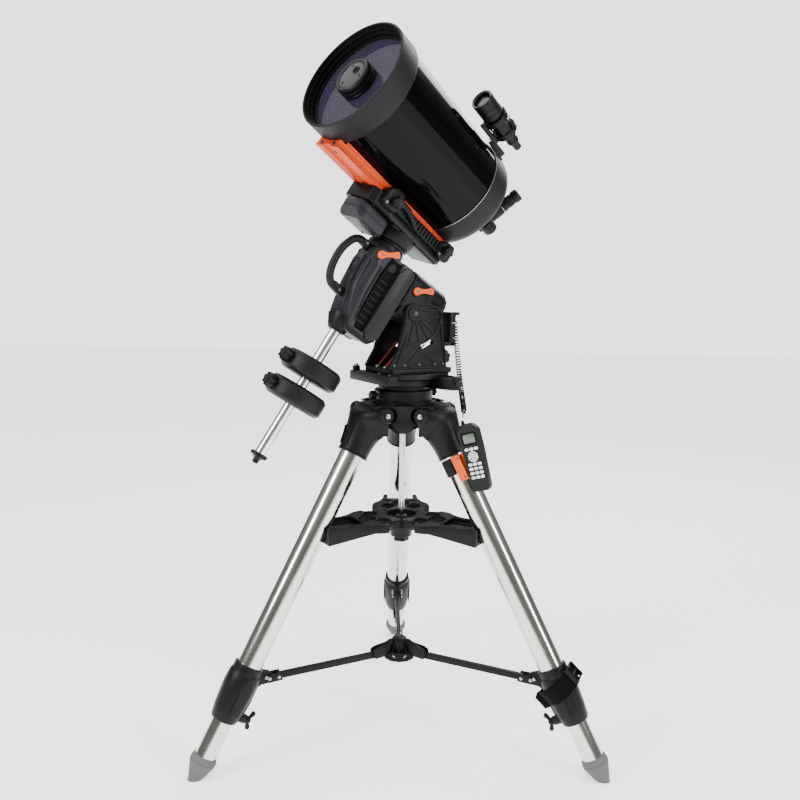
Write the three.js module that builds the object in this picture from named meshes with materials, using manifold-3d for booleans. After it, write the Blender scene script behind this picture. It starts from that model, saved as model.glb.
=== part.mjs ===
// A 280 mm catadioptric telescope on a German equatorial mount and a steel tripod.
// Millimetres, +Z up. The origin is on the floor, under the middle of the object's box.
import * as THREE from 'three';
import Module from 'manifold-3d';
import { mergeVertices } from 'three/addons/utils/BufferGeometryUtils.js';

const wasm = await Module();
wasm.setup();

// ---------------------------------------------------------------- driving dimensions
const DEG = Math.PI / 180;
const GAP = 0.3;                       // clearance between touching pieces

const TRIPOD_AXIS = [-7.8, -148.6];    // the tripod's vertical axis in the part's frame
const LEG_HEADING = { front: 211.4, right: 331.4, back: 91.4 };   // degrees from +X
const LEG_LEAN = 29.19 * DEG;
const FOOT_CIRCLE_R = 634;             // where the legs' axes meet the floor
const LEG_SIDES = 16;                  // facets round the leg tubes
const UPPER_TUBE_R = 35;
const UPPER_TUBE_BORE_R = 32.2;
const LOWER_TUBE_R = 29.5;
const CLAMP_Z = [168, 326];            // leg clamp, measured along the leg
const YOKE_SLEEVE_Z = [962, 1075];     // the yoke's sleeve, along the leg
const LEG_PIVOT_R = 105;               // leg pivot bolts, from the tripod's axis
const LEG_PIVOT_Z = 955;
const YOKE_DOME_R = 92;                // round shoulder of the yoke, seen from above
const YOKE_DOME_X = 76;
const APRON_HALF_WIDTH = 42;
const TONGUE_HALF_WIDTH = 60;

const HEAD_TOP_Z = 1017;               // top of the tripod's drum
const HEAD_DRUM_R = 84;
const HEAD_FLANGE_R = 94;
const HEAD_CORE_R = 52;
const TONGUE_Z = [926, 980];           // the head's three tongues, between the yokes' cheeks
const PIVOT_BOLT_R = 9;
const ROD_R = 8;
const TRAY_TOP_Z = 645;
const TRAY_HOLES = [[84, -40, 20], [84, 40, 20], [118, 0, 26]];   // out, across and radius, on each arm
const TRAY_BITE = [108, 37];           // round bite between two arms: distance out and radius
const SPREADER_Z = 200;

const LATITUDE = 32.46 * DEG;          // tilt of the polar axis
const RA_ANGLE = -4.65 * DEG;
const DEC_ANGLE = 13.8 * DEG;
const PIVOT_N = 7;                     // latitude pivot, north of the azimuth axis
const PIVOT_Z = 1235;
const AXES_MEET_X = 146.9;             // polar and declination axes cross here, from the pivot
const AXES_MEET_Z = 36;

const TUBE_AXIS_Z = 350;               // optical axis above the crossing of the axes
const CELL_SIDES = 32;                 // facets round the cells and the glass
const TUBE_R = 151;
const TUBE_X = [-75, 312];             // tube shell, along the optical axis
const CELL_FRONT_X = 382;
const CELL_BACK_X = -175;
const FRONT_CELL_R = 160;
const REAR_CELL_R = 154;
const APERTURE_R = 140;

const SHAFT_R = 15.5;
const SHAFT_END_Z = -580;
const WEIGHT_R = 85;
const WEIGHT_LENGTH = 56;
const WEIGHT_Z = { upper: -317, lower: -398 };   // middles of the weights on the shaft

const HANDSET_MIDDLE = [84, -50, 930];  // hand controller, in the right leg's frame
const HANDSET_TURN = 12 * DEG;
const HANDSET_SIZE = [62, 24, 188];
const HANDLE_BAR_R = 9.5;

// ---------------------------------------------------------------- materials
function material(color, roughness, metalness) {
  return new THREE.MeshStandardMaterial({ color, roughness, metalness });
}
const STEEL = material(0xd0d0cc, 0.2, 1);
const CHROME = material(0xdcdcdc, 0.12, 1);
const BLACK = material(0x1c1d1f, 0.5, 0.3);
const CASTING = material(0x2b2c2e, 0.6, 0.2);
const GREY = material(0x4c4c52, 0.5, 0.4);
const RUBBER = material(0x77767a, 0.8, 0);
const ORANGE = material(0xe0552a, 0.4, 0.3);
const GLASS = material(0x2a2440, 0.05, 0);
const MIRROR = material(0xf0f2f5, 0.03, 1);
const PLASTIC = material(0x222326, 0.55, 0);
const KEYS = material(0xe6e6e2, 0.6, 0);

// ---------------------------------------------------------------- shape helpers
function toSolid(geometry) {
  const plain = geometry.clone();
  plain.deleteAttribute('normal');
  plain.deleteAttribute('uv');
  const merged = mergeVertices(plain, 1e-4);
  return new wasm.Manifold(new wasm.Mesh({
    numProp: 3,
    vertProperties: new Float32Array(merged.attributes.position.array),
    triVerts: new Uint32Array(merged.index.array),
  }));
}

function toGeometry(solid) {
  const mesh = solid.getMesh();
  const geometry = new THREE.BufferGeometry();
  geometry.setAttribute('position', new THREE.BufferAttribute(mesh.vertProperties, 3));
  geometry.setIndex(new THREE.BufferAttribute(mesh.triVerts, 1));
  geometry.computeVertexNormals();
  return geometry;
}

// The first shape with the others joined on, then with the cuts taken away.
function combine(joined, cuts = []) {
  let solid = toSolid(joined[0]);
  for (const geometry of joined.slice(1)) {
    solid = solid.add(toSolid(geometry));
  }
  for (const geometry of cuts) {
    solid = solid.subtract(toSolid(geometry));
  }
  return toGeometry(solid);
}

function common(a, b) {
  return toGeometry(toSolid(a).intersect(toSolid(b)));
}

// A box between two corners.
function box([x0, x1], [y0, y1], [z0, z1]) {
  const geometry = new THREE.BoxGeometry(x1 - x0, y1 - y0, z1 - z0);
  return geometry.translate((x0 + x1) / 2, (y0 + y1) / 2, (z0 + z1) / 2);
}

// A solid of revolution about Z from [radius, z] points that close on the axis or on themselves.
// The points run whichever way round turns the faces outwards.
function turned(profile, segments = 20) {
  let area = 0;
  profile.forEach(([r, z], i) => {
    const [r2, z2] = profile[(i + 1) % profile.length];
    area += r * z2 - r2 * z;
  });
  const points = profile.map(([r, z]) => new THREE.Vector2(r, z));
  if (area < 0) {
    points.reverse();
  }
  return new THREE.LatheGeometry(points, segments).rotateX(Math.PI / 2);
}

function cylinder(radius, [z0, z1], segments = 20) {
  return turned([[0, z0], [radius, z0], [radius, z1], [0, z1]], segments);
}

function ring(outer, inner, [z0, z1], segments = 20) {
  return turned([[inner, z0], [outer, z0], [outer, z1], [inner, z1], [inner, z0]], segments);
}

// An outline in XY, pushed up from z0 to z1.
function slab(points, [z0, z1]) {
  const shape = new THREE.Shape(points.map(([x, y]) => new THREE.Vector2(x, y)));
  const options = { depth: z1 - z0, bevelEnabled: false, curveSegments: 8 };
  return new THREE.ExtrudeGeometry(shape, options).translate(0, 0, z0);
}

// An outline in XZ, pushed along Y from y0 to y1.
function sideSlab(points, [y0, y1]) {
  return slab(points, [-y1, -y0]).rotateX(Math.PI / 2);
}

// An outline in YZ, pushed along X from x0 to x1.
function endSlab(points, [x0, x1]) {
  return slab(points, [x0, x1]).rotateX(Math.PI / 2).rotateZ(Math.PI / 2);
}

// A rectangle with cut corners, as outline points.
function chamfered([x0, x1], [y0, y1], c) {
  return [[x0 + c, y0], [x1 - c, y0], [x1, y0 + c], [x1, y1 - c],
    [x1 - c, y1], [x0 + c, y1], [x0, y1 - c], [x0, y0 + c]];
}

// A round bar along a smooth curve through the points.
function bar(points, radius, steps, sides = 8) {
  const curve = new THREE.CatmullRomCurve3(points.map((p) => new THREE.Vector3(...p)));
  const section = new THREE.Shape();
  for (let i = 0; i < sides; i += 1) {
    const angle = (2 * Math.PI * i) / sides;
    const x = radius * Math.cos(angle);
    const y = radius * Math.sin(angle);
    if (i === 0) {
      section.moveTo(x, y);
    } else {
      section.lineTo(x, y);
    }
  }
  return new THREE.ExtrudeGeometry(section, { steps, extrudePath: curve, bevelEnabled: false });
}

// A hand knob with lobes, its axis along Z.
function lobedKnob(radius, lobes, depth, [z0, z1]) {
  const points = [];
  const count = lobes * 4;
  for (let i = 0; i < count; i += 1) {
    const angle = (2 * Math.PI * i) / count;
    const r = radius - depth * (0.5 - 0.5 * Math.cos(lobes * angle));
    points.push([r * Math.cos(angle), r * Math.sin(angle)]);
  }
  return slab(points, [z0, z1]);
}

const model = new THREE.Group();

function addMesh(parent, name, geometry, look) {
  const mesh = new THREE.Mesh(geometry, look);
  mesh.name = name;
  parent.add(mesh);
  return mesh;
}

function group(parent, position = [0, 0, 0], rotation = [0, 0, 0]) {
  const child = new THREE.Group();
  child.position.set(...position);
  child.rotation.set(...rotation);
  parent.add(child);
  return child;
}

// ---------------------------------------------------------------- tripod head
const tripod = group(model, [...TRIPOD_AXIS, 0]);

function tripodHead() {
  const pieces = [
    cylinder(HEAD_FLANGE_R, [977, 987], 28),
    cylinder(HEAD_DRUM_R, [980, HEAD_TOP_Z], 28),
    cylinder(HEAD_CORE_R, [905, 980], 16),
  ];
  const cuts = [cylinder(ROD_R + GAP, [880, 1030], 12)];
  for (const heading of Object.values(LEG_HEADING)) {
    const tongue = box([0, 128], [-TONGUE_HALF_WIDTH, TONGUE_HALF_WIDTH], TONGUE_Z);
    pieces.push(tongue.rotateZ(heading * DEG));
    const w = APRON_HALF_WIDTH;
    const outline = [[-w, 980], [8 - w, 962], [-12, 905], [12, 905], [w - 8, 962], [w, 980]];
    const apron = endSlab(outline, [30, 122]);
    pieces.push(apron.rotateZ((heading + 60) * DEG));
    const pin = cylinder(PIVOT_BOLT_R, [-120, 120], 8).rotateX(Math.PI / 2);
    cuts.push(pin.translate(LEG_PIVOT_R, 0, LEG_PIVOT_Z).rotateZ(heading * DEG));
  }
  return combine(pieces, cuts);
}
addMesh(tripod, 'tripod_head', tripodHead(), CASTING);

// A fork that holds the leg tube and straddles the head's tongue.
function legYoke() {
  const r = YOKE_DOME_R;
  const profile = [[0, 872], [52, 872], [r - 4, 912], [r, 950], [r - 8, 968], [r - 24, 976], [0, 976]];
  const dome = turned(profile, 20).translate(YOKE_DOME_X, 0, 0);
  const sleeve = cylinder(UPPER_TUBE_R + 7.5, YOKE_SLEEVE_Z, LEG_SIDES).rotateY(-LEG_LEAN);
  sleeve.translate(FOOT_CIRCLE_R, 0, 0);
  const bridge = common(
    sideSlab([[110, 905], [204, 862], [182, 930], [150, 960], [110, 960]], [-70, 70]),
    endSlab([[-42, 855], [42, 855], [70, 915], [70, 965], [-70, 965], [-70, 915]], [100, 210]),
  );
  const cheekY = [-TONGUE_HALF_WIDTH - GAP, TONGUE_HALF_WIDTH + GAP];
  const tube = cylinder(UPPER_TUBE_R + GAP, [700, 1032], LEG_SIDES).rotateY(-LEG_LEAN);
  const bolt = cylinder(PIVOT_BOLT_R + GAP, [-120, 120], 8).rotateX(Math.PI / 2);
  const cuts = [
    box([-40, 98], cheekY, [860, 990]),
    box([90, 128 + GAP], cheekY, [TONGUE_Z[0] - GAP, 990]),
    box([-40, 60], [-150, 150], [860, 990]),
    tube.translate(FOOT_CIRCLE_R, 0, 0),
    bolt.translate(LEG_PIVOT_R, 0, LEG_PIVOT_Z),
  ];
  for (const side of [-60, 60]) {
    const room = APRON_HALF_WIDTH + GAP;
    cuts.push(box([-50, 220], [-room, room], [850, 990]).rotateZ(side * DEG));
  }
  return combine([dome, sleeve, bridge], cuts);
}

// A drawn steel tube, open at both ends.
function upperTube() {
  return ring(UPPER_TUBE_R, UPPER_TUBE_BORE_R, [228, 1030], LEG_SIDES);
}

function lowerTube() {
  return ring(LOWER_TUBE_R, 26.5, [56, 620], LEG_SIDES);
}

// A rubber foot that ends in a flat sole on the floor.
function foot() {
  const cone = turned([[0, -20], [15, -20], [15, 0], [36, 44], [36, 58], [32, 66], [30, 66],
    [30, 55.5], [0, 55.5]], LEG_SIDES);
  const floor = box([-200, 200], [-200, 200], [-200, 0]).rotateY(LEG_LEAN);
  return combine([cone], [floor]);
}

// The clamp that joins the two tubes, with the lug for the spreader's arm.
function legClamp() {
  const [z0, z1] = CLAMP_Z;
  const sleeve = turned([[0, z0], [36, z0], [38, z0 + 6], [43, z0 + 40], [47, z0 + 100], [45, z1 - 14],
    [41, z1], [0, z1]], LEG_SIDES);
  const boss = cylinder(13, [30, 64], 10).rotateY(-Math.PI / 2).translate(0, 0, z0 + 16);
  const lug = sideSlab([[-30, z1 - 52], [-66, z1 - 34], [-78, z1 - 26], [-78, z1 - 6], [-66, z1],
    [-30, z1 - 4]], [-9, 9]);
  const cuts = [
    cylinder(LOWER_TUBE_R + GAP, [z0 - 10, z1 + 10], LEG_SIDES),
    cylinder(UPPER_TUBE_R + GAP, [227, z1 + 10], LEG_SIDES),
    cylinder(6.5, [25, 70], 10).rotateY(-Math.PI / 2).translate(0, 0, z0 + 16),
  ];
  return combine([sleeve, boss, lug], cuts);
}

// A wing-headed screw along -X.
function lockKnob() {
  const stem = cylinder(6, [31, 74], 10);
  const head = combine([cylinder(11, [66, 84], 10), box([-26, 26], [-5, 5], [68, 84])]);
  return combine([stem, head]).rotateY(-Math.PI / 2).translate(0, 0, CLAMP_Z[0] + 16);
}

const legs = {};
for (const [name, heading] of Object.entries(LEG_HEADING)) {
  const turn = group(tripod, [0, 0, 0], [0, 0, heading * DEG]);
  const leg = group(turn, [FOOT_CIRCLE_R, 0, 0], [0, -LEG_LEAN, 0]);
  legs[name] = leg;
  addMesh(turn, `leg_yoke_${name}`, legYoke(), CASTING);
  addMesh(leg, `leg_tube_upper_${name}`, upperTube(), STEEL);
  addMesh(leg, `leg_clamp_${name}`, legClamp(), CASTING);
  addMesh(leg, `leg_tube_lower_${name}`, lowerTube(), STEEL);
  addMesh(leg, `leg_foot_${name}`, foot(), RUBBER);
  addMesh(leg, `leg_lock_knob_${name}`, lockKnob(), PLASTIC);
}

// ---------------------------------------------------------------- spreader, rod and tray
// The hub and its three flat arms, which end in forks round the clamps' lugs.
function legSpreader() {
  const z = SPREADER_Z;
  const hub = turned([[0, z], [42, z], [45, z + 4], [45, z + 9], [36, z + 16], [28, z + 50], [18, z + 62],
    [0, z + 64]], 16);
  const pieces = [hub];
  const cuts = [];
  for (const heading of Object.values(LEG_HEADING)) {
    const outline = [[20, 208], [76, 213], [396, 223], [396, 245], [84, 236], [44, 254], [20, 254]];
    const arm = sideSlab(outline, [-7, 7]);
    const fork = sideSlab([[384, 222], [424, 222], [424, 247], [384, 245]], [-14, 14]);
    pieces.push(arm.rotateZ(heading * DEG), fork.rotateZ(heading * DEG));
    cuts.push(box([394, 430], [-9.4, 9.4], [200, 290]).rotateZ(heading * DEG));
  }
  return combine(pieces, cuts);
}
addMesh(tripod, 'leg_spreader', legSpreader(), CASTING);
addMesh(tripod, 'center_rod', cylinder(ROD_R, [563, 1014], 12), STEEL);

function accessoryTray() {
  const top = TRAY_TOP_Z;
  const pieces = [turned([[0, top - 66], [30, top - 66], [47, top - 22], [47, top], [0, top]], 16)];
  const cuts = [cylinder(ROD_R + GAP, [top - 80, top + 20], 12)];
  for (const heading of Object.values(LEG_HEADING)) {
    const plate = slab([[0, -76], [60, -88], [120, -84], [160, -62], [262, -52], [262, 52], [160, 62],
      [120, 84], [60, 88], [0, 76]], [top - 22, top]);
    const side = [[60, top - 24], [150, top - 34], [262, top - 48], [262, top - 20], [60, top - 20]];
    const skirt = sideSlab(side, [-52, 52]);
    pieces.push(plate.rotateZ(heading * DEG), skirt.rotateZ(heading * DEG));
    const hollow = box([70, 206], [-46, 46], [top - 70, top - 24]);
    cuts.push(hollow.rotateZ(heading * DEG));
    const leg = cylinder(UPPER_TUBE_R + 0.6, [400, 900], LEG_SIDES).rotateY(-LEG_LEAN);
    cuts.push(leg.translate(FOOT_CIRCLE_R, 0, 0).rotateZ(heading * DEG));
    for (const [x, y, radius] of TRAY_HOLES) {
      cuts.push(cylinder(radius, [top - 60, top + 5], 10).translate(x, y, 0).rotateZ(heading * DEG));
    }
    const [biteX, biteR] = TRAY_BITE;
    const bite = cylinder(biteR, [top - 70, top + 5], 16).translate(biteX, 0, 0);
    cuts.push(bite.rotateZ((heading + 60) * DEG));
  }
  return combine(pieces, cuts);
}
addMesh(tripod, 'accessory_tray', accessoryTray(), CASTING);

function trayKnob() {
  const top = TRAY_TOP_Z - 66 - GAP;
  const bore = cylinder(ROD_R + GAP, [top - 20, top + 5], 12);
  return combine([lobedKnob(24, 5, 4, [top - 14, top])], [bore]);
}
addMesh(tripod, 'tray_knob', trayKnob(), PLASTIC);

// ---------------------------------------------------------------- strap, handset and its cord
function legStrap() {
  const band = ring(54, 49.2, [231, 281], LEG_SIDES);
  const buckle = box([50, 66], [-26, 26], [236, 284]);
  const tail = box([-70, -49.6], [-6, 4], [232, 262]);
  return combine([band, buckle, tail], [cylinder(49.2, [200, 330], LEG_SIDES)]);
}
addMesh(legs.right, 'leg_strap', legStrap(), PLASTIC);

// A band round the leg with a back plate and a side lip for the hand controller.
function handsetHolder() {
  const band = ring(41, UPPER_TUBE_R + GAP, [908, 956], LEG_SIDES);
  const plate = box([14, 90], [-37.6, -31], [884, 956]);
  const lip = box([14, 41], [-54, -31], [884, 956]);
  return combine([band, plate, lip], [cylinder(UPPER_TUBE_R + GAP, [870, 970], LEG_SIDES)]);
}
addMesh(legs.right, 'handset_holder', handsetHolder(), ORANGE);

const handset = group(legs.right, HANDSET_MIDDLE, [0, HANDSET_TURN, 0]);
const KEYPAD_X = 23;
const KEYPAD_Z = [-65, 30];

function handController() {
  const [w, t, h] = HANDSET_SIZE.map((size) => size / 2);
  const right = [[18, -h], [25, 6 - h], [w, 32], [w - 1, h - 18], [w - 10, h - 5], [14, h]];
  const left = right.map(([x, z]) => [-x, z]).reverse();
  const outline = [...right, ...left];
  const gland = turned([[0, h - 5], [6, h - 5], [4, h + 10], [0, h + 10]], 12).translate(-12, 0, 0);
  const pocketZ = [KEYPAD_Z[0] - GAP, KEYPAD_Z[1] + GAP];
  const pocket = box([-KEYPAD_X - GAP, KEYPAD_X + GAP], [-t - 5, 2.5 - t], pocketZ);
  return combine([sideSlab(outline, [-t, t]), gland], [pocket]);
}
addMesh(handset, 'hand_controller', handController(), PLASTIC);
const keypadFace = -HANDSET_SIZE[1] / 2;
const keypad = box([-KEYPAD_X, KEYPAD_X], [keypadFace - 1.2, keypadFace + 1.3], KEYPAD_Z);
addMesh(handset, 'handset_keypad', keypad, KEYS);

// The curly cord hangs from the mount's port to the controller: one fat tube of its outer size.
const CORD_R = 8.5;
const CORD_ROUTE = [
  [149.4, 91.1, 1226], [150.8, 90.2, 1200], [154.6, 82.8, 1150], [160, 63, 1100], [164, 34, 1050],
  [167, -4, 1015], [168.5, -48, 992], [168.5, -88, 980], [167.5, -118, 969], [164, -137.3, 954.5],
];
addMesh(tripod, 'handset_cord', bar(CORD_ROUTE, CORD_R, 24, 8), PLASTIC);

// ---------------------------------------------------------------- mount base
// +X is north here, towards the raised end of the polar axis, and +Y is the near side.
const mount = group(tripod, [0, 0, 0], [0, 0, LEG_HEADING.front * DEG]);
const LATITUDE_SCREW_Z = 1105;
const PORT_Z = 1227;                   // under side of the port that the cord leaves

function azimuthBase() {
  const z = HEAD_TOP_Z + GAP;
  const pieces = [
    turned([[0, z], [72, z], [72, 1046], [100, 1052], [100, 1066], [0, 1066]], 24),
    slab(chamfered([84, 124], [-104, 116], 6), [1040, 1066]),
    slab(chamfered([-122, -84], [-60, 128], 6), [1020, 1056]),
    slab(chamfered([-124, 92], [-74, 74], 12), [1052, 1080]),
    box([-122, -108], [-32, 32], [1070, 1150]),
    box([-160, -108], [-32, 32], [1138, 1150]),
    slab(chamfered([-160, -134], [-32, 32], 5), [1138, 1236]),
    cylinder(7, [1060, 1085], 12).translate(104, -94, 0),
    cylinder(8, [0, 10], 12).rotateX(-Math.PI / 2).translate(-103, 127, 1038),
    box([-184, -150], [-12, 12], [PORT_Z, 1236]),
  ];
  const screwHole = cylinder(5.3, [-200, 0], 12).rotateY(Math.PI / 2).translate(0, 0, LATITUDE_SCREW_Z);
  return combine(pieces, [cylinder(ROD_R + 0.6, [1000, 1100], 12), screwHole]);
}
addMesh(mount, 'azimuth_base', azimuthBase(), BLACK);

// Two adjusting screws that push the base round, on the north and south of the ring.
function azimuthKnob(side) {
  const knob = combine([cylinder(6, [HEAD_DRUM_R + 0.5, 94], 12), lobedKnob(13, 4, 3, [93, 111])]);
  return knob.rotateY(side * Math.PI / 2).translate(0, 0, 1003);
}
addMesh(tripod, 'azimuth_knob_north', azimuthKnob(1).rotateZ(LEG_HEADING.front * DEG), PLASTIC);
addMesh(tripod, 'azimuth_knob_south', azimuthKnob(-1).rotateZ(LEG_HEADING.front * DEG), PLASTIC);

// A cheek plate with the latitude slot cut round the pivot.
function sidePlate(side) {
  const outline = [[92, 1080 + GAP], [-100, 1080 + GAP], [-96, 1130], [-84, 1180], [-82, 1236], [-72, 1252],
    [-40, 1262], [7, 1264], [28, 1258], [38, 1242], [40, 1210], [62, 1130]];
  const cuts = [cylinder(12.6, [-100, 100], 16).rotateX(Math.PI / 2).translate(PIVOT_N, 0, PIVOT_Z)];
  const slotPoints = [];
  for (const [radius, from, to] of [[90, 232, 262], [104, 262, 232]]) {
    for (let i = 0; i <= 5; i += 1) {
      const angle = (from + ((to - from) * i) / 5) * DEG;
      slotPoints.push([PIVOT_N + radius * Math.cos(angle), PIVOT_Z + radius * Math.sin(angle)]);
    }
  }
  cuts.push(sideSlab(slotPoints, [-100, 100]));
  const span = side > 0 ? [58, 72] : [-72, -58];
  return combine([sideSlab(outline, span)], cuts);
}
addMesh(mount, 'side_plate_near', sidePlate(1), BLACK);
addMesh(mount, 'side_plate_far', sidePlate(-1), BLACK);

function latitudeKnob() {
  const stem = cylinder(5, [60, 130], 12);
  const screw = combine([stem, lobedKnob(20, 5, 4, [125, 150])]).rotateY(-Math.PI / 2);
  return screw.translate(0, 0, LATITUDE_SCREW_Z);
}
addMesh(mount, 'latitude_knob', latitudeKnob(), PLASTIC);

// ---------------------------------------------------------------- polar axis housing
// +X runs up the polar axis, from the point where the two axes cross.
const tilt = group(mount, [PIVOT_N, 0, PIVOT_Z], [0, -LATITUDE, 0]);
const polar = group(tilt, [AXES_MEET_X, 0, AXES_MEET_Z]);

function raHousing() {
  const section = [[-42, -64], [42, -64], [56, -50], [56, 40], [46, 62], [24, 76], [-24, 76], [-46, 62],
    [-56, 40], [-56, -50]];
  const body = endSlab(section, [-226, -102]);
  const neck = cylinder(66, [-109, -96]).rotateY(Math.PI / 2);
  const backCap = endSlab(section.map(([y, z]) => [y * 0.9, z * 0.92]), [-236, -220]);
  const axle = cylinder(12, [-72, 72], 16).rotateX(Math.PI / 2).translate(-AXES_MEET_X, 0, -AXES_MEET_Z);
  return combine([body, neck, backCap, axle]);
}
addMesh(polar, 'ra_housing', raHousing(), CASTING);

// A flat lever with a round hub: it lies along X from the hub, in the plane of its face.
function clutchLever(side) {
  const hub = cylinder(11, [0, 12], 12);
  const arm = slab([[0, -7], [44, -9], [52, -6], [54, 0], [52, 6], [44, 9], [0, 7]], [2, 11]);
  return combine([hub, arm]).rotateX(side > 0 ? -Math.PI / 2 : Math.PI / 2);
}
const raLever = group(polar, [-121, 56 + GAP, 20], [0, Math.PI + LATITUDE, 0]);
addMesh(raLever, 'ra_clutch_lever', clutchLever(1), ORANGE);

// ---------------------------------------------------------------- declination housing
// +Z runs up the declination axis, from the weights to the tube.
const ra = group(polar, [0, 0, 0], [RA_ANGLE, 0, 0]);

function decHousing() {
  const side = [[-92, 48], [-80, 66], [40, 66], [54, 26], [46, -60], [20, -146], [2, -174], [-74, -178],
    [-92, -160]];
  const plan = [[-92, -44], [-80, -58], [30, -58], [52, -40], [58, -16], [58, 16], [52, 40], [30, 58],
    [-80, 58], [-92, 44]];
  const body = common(sideSlab(side, [-80, 80]), slab(plan, [-200, 80]));
  const neck = turned([[0, 60], [54, 60], [54, 84], [50, 96], [0, 96]], 24);
  const nose = turned([[0, -190], [24, -190], [30, -160], [0, -160]], 16);
  const band = slab(chamfered([-92, -58], [50, 64], 4), [-168, 56]);
  return combine([body, neck, nose, band], [cylinder(SHAFT_R + GAP, [-200, -120], 16)]);
}
addMesh(ra, 'dec_housing', decHousing(), GREY);

const HANDLE_POINTS = [[57, 0, 54], [78, 0, 58], [98, 0, 44], [112, 0, 2], [108, 0, -52], [88, 0, -86],
  [47, 0, -92]];
addMesh(ra, 'carry_handle', bar(HANDLE_POINTS, HANDLE_BAR_R, 14, 8), PLASTIC);

const decLever = group(ra, [30, 58 + GAP, 44], [0, Math.PI + LATITUDE, 0]);
addMesh(decLever, 'dec_clutch_lever', clutchLever(1), ORANGE);

addMesh(ra, 'counterweight_shaft', cylinder(SHAFT_R, [SHAFT_END_Z, -124], 16), CHROME);

// A cast weight with bevelled rims and the hole for its clamp screw.
function counterweight() {
  const half = WEIGHT_LENGTH / 2;
  const bevel = 9;
  const body = turned([[0, -half], [WEIGHT_R - bevel, -half], [WEIGHT_R, -half + bevel],
    [WEIGHT_R, half - bevel], [WEIGHT_R - bevel, half], [0, half]], 28);
  const cuts = [cylinder(SHAFT_R + 0.7, [-half - 5, half + 5], 16)];
  cuts.push(cylinder(5.5, [0, WEIGHT_R + 5], 10).rotateY(Math.PI / 2));
  return combine([body], cuts);
}

function weightKnob() {
  return combine([cylinder(5, [19, 92], 10), lobedKnob(20, 6, 3, [WEIGHT_R + 3, WEIGHT_R + 25])])
    .rotateY(Math.PI / 2);
}

for (const [name, z] of Object.entries(WEIGHT_Z)) {
  const weight = group(ra, [0, 0, z], [0, 0, 12 * DEG]);
  addMesh(weight, `counterweight_${name}`, counterweight(), BLACK);
  addMesh(weight, `counterweight_knob_${name}`, weightKnob(), PLASTIC);
}

function shaftEndCap() {
  const z = SHAFT_END_Z - GAP;
  return turned([[0, z - 30], [9, z - 30], [9, z - 12], [25, z - 12], [25, z], [0, z]], 16);
}
addMesh(ra, 'shaft_end_cap', shaftEndCap(), BLACK);

// ---------------------------------------------------------------- saddle and tube
// +X is the way the telescope points, +Z runs from the mount to the tube.
const dec = group(ra, [0, 0, 0], [0, 0, DEC_ANGLE]);
const SADDLE_TOP = 172;
const RAIL_HALF = 50;
const SADDLE_KNOB_X = [120, -116];
const SADDLE_KNOB_Z = 166;
const JAW_TOP = 181;

function saddle() {
  const base = slab(chamfered([-150, 176], [-62, 62], 10), [128, SADDLE_TOP]);
  const hub = turned([[0, 96.4], [56, 96.4], [62, 108], [62, 130], [0, 130]], 24);
  const motor = slab(chamfered([60, 180], [-48, 48], 20), [78, 130]);
  const jaw = [[51, 150], [78, 150], [78, JAW_TOP - 4], [74, JAW_TOP], [45.5, JAW_TOP], [51, SADDLE_TOP]];
  const mirrored = jaw.map(([y, z]) => [-y, z]).reverse();
  const jaws = [jaw, mirrored].map((outline) => endSlab(outline, [-146, 150]));
  const cuts = SADDLE_KNOB_X.map((x) => {
    const hole = cylinder(6.4, [60, 90], 12).rotateX(-Math.PI / 2);
    return hole.translate(x, 0, SADDLE_KNOB_Z);
  });
  return combine([base, hub, motor, ...jaws], cuts);
}
addMesh(dec, 'saddle', saddle(), BLACK);

function saddleKnob() {
  return combine([cylinder(6, [61, 96], 12), lobedKnob(17, 6, 3, [84, 108])]).rotateX(-Math.PI / 2);
}
addMesh(group(dec, [SADDLE_KNOB_X[0], 0, SADDLE_KNOB_Z]), 'saddle_knob_front', saddleKnob(), PLASTIC);
addMesh(group(dec, [SADDLE_KNOB_X[1], 0, SADDLE_KNOB_Z]), 'saddle_knob_back', saddleKnob(), PLASTIC);

function dovetailRail() {
  const z = SADDLE_TOP + GAP;
  const right = [[18, z], [RAIL_HALF, z], [44, 182], [44, 204]];
  const left = right.map(([y, height]) => [-y, height]).reverse();
  const rail = endSlab([...right, ...left, [-14, z + 5], [14, z + 5]], [-162, 332]);
  const rooms = [
    cylinder(TUBE_R + 0.9, [-100, 330], 40),
    cylinder(REAR_CELL_R + 0.9, [-400, -70], CELL_SIDES),
    cylinder(FRONT_CELL_R + 0.9, [TUBE_X[1] - 1, 400], CELL_SIDES),
  ];
  return combine([rail], rooms.map((room) => room.rotateY(Math.PI / 2).translate(0, 0, TUBE_AXIS_Z)));
}
addMesh(dec, 'dovetail_rail', dovetailRail(), ORANGE);

const tube = group(dec, [0, 0, TUBE_AXIS_Z]);

// Turned pieces of the tube lie along X, so their profiles are [radius, x].
function alongX(geometry) {
  return geometry.rotateY(Math.PI / 2);
}

addMesh(tube, 'optical_tube', alongX(ring(TUBE_R, TUBE_R - 2.5, TUBE_X, 40)), BLACK);

function frontCell() {
  const back = TUBE_X[1] + GAP;
  const rim = CELL_FRONT_X;
  return alongX(turned([[145, back], [156, back], [FRONT_CELL_R, back + 6], [FRONT_CELL_R, rim - 3],
    [FRONT_CELL_R - 3, rim], [152, rim], [150, 360], [145, 360], [145, back]], CELL_SIDES));
}
addMesh(tube, 'front_cell', frontCell(), BLACK);

const corrector = ring(APERTURE_R + 4.6, 47, [340, 346], CELL_SIDES);
addMesh(tube, 'corrector_plate', alongX(corrector), GLASS);

// The secondary's holder passes through the corrector, with its baffle behind.
const holder = turned([[0, 300], [40, 290], [42, 300], [44, 339], [46.7, 339], [46.7, 346.5], [52, 346.5],
  [52, 372], [47, 380], [0, 380]], 24);
addMesh(tube, 'secondary_holder', alongX(holder), BLACK);

const FOCUS_PLACE = [42, 98, 0];       // the focus screw, beside the axis

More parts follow.
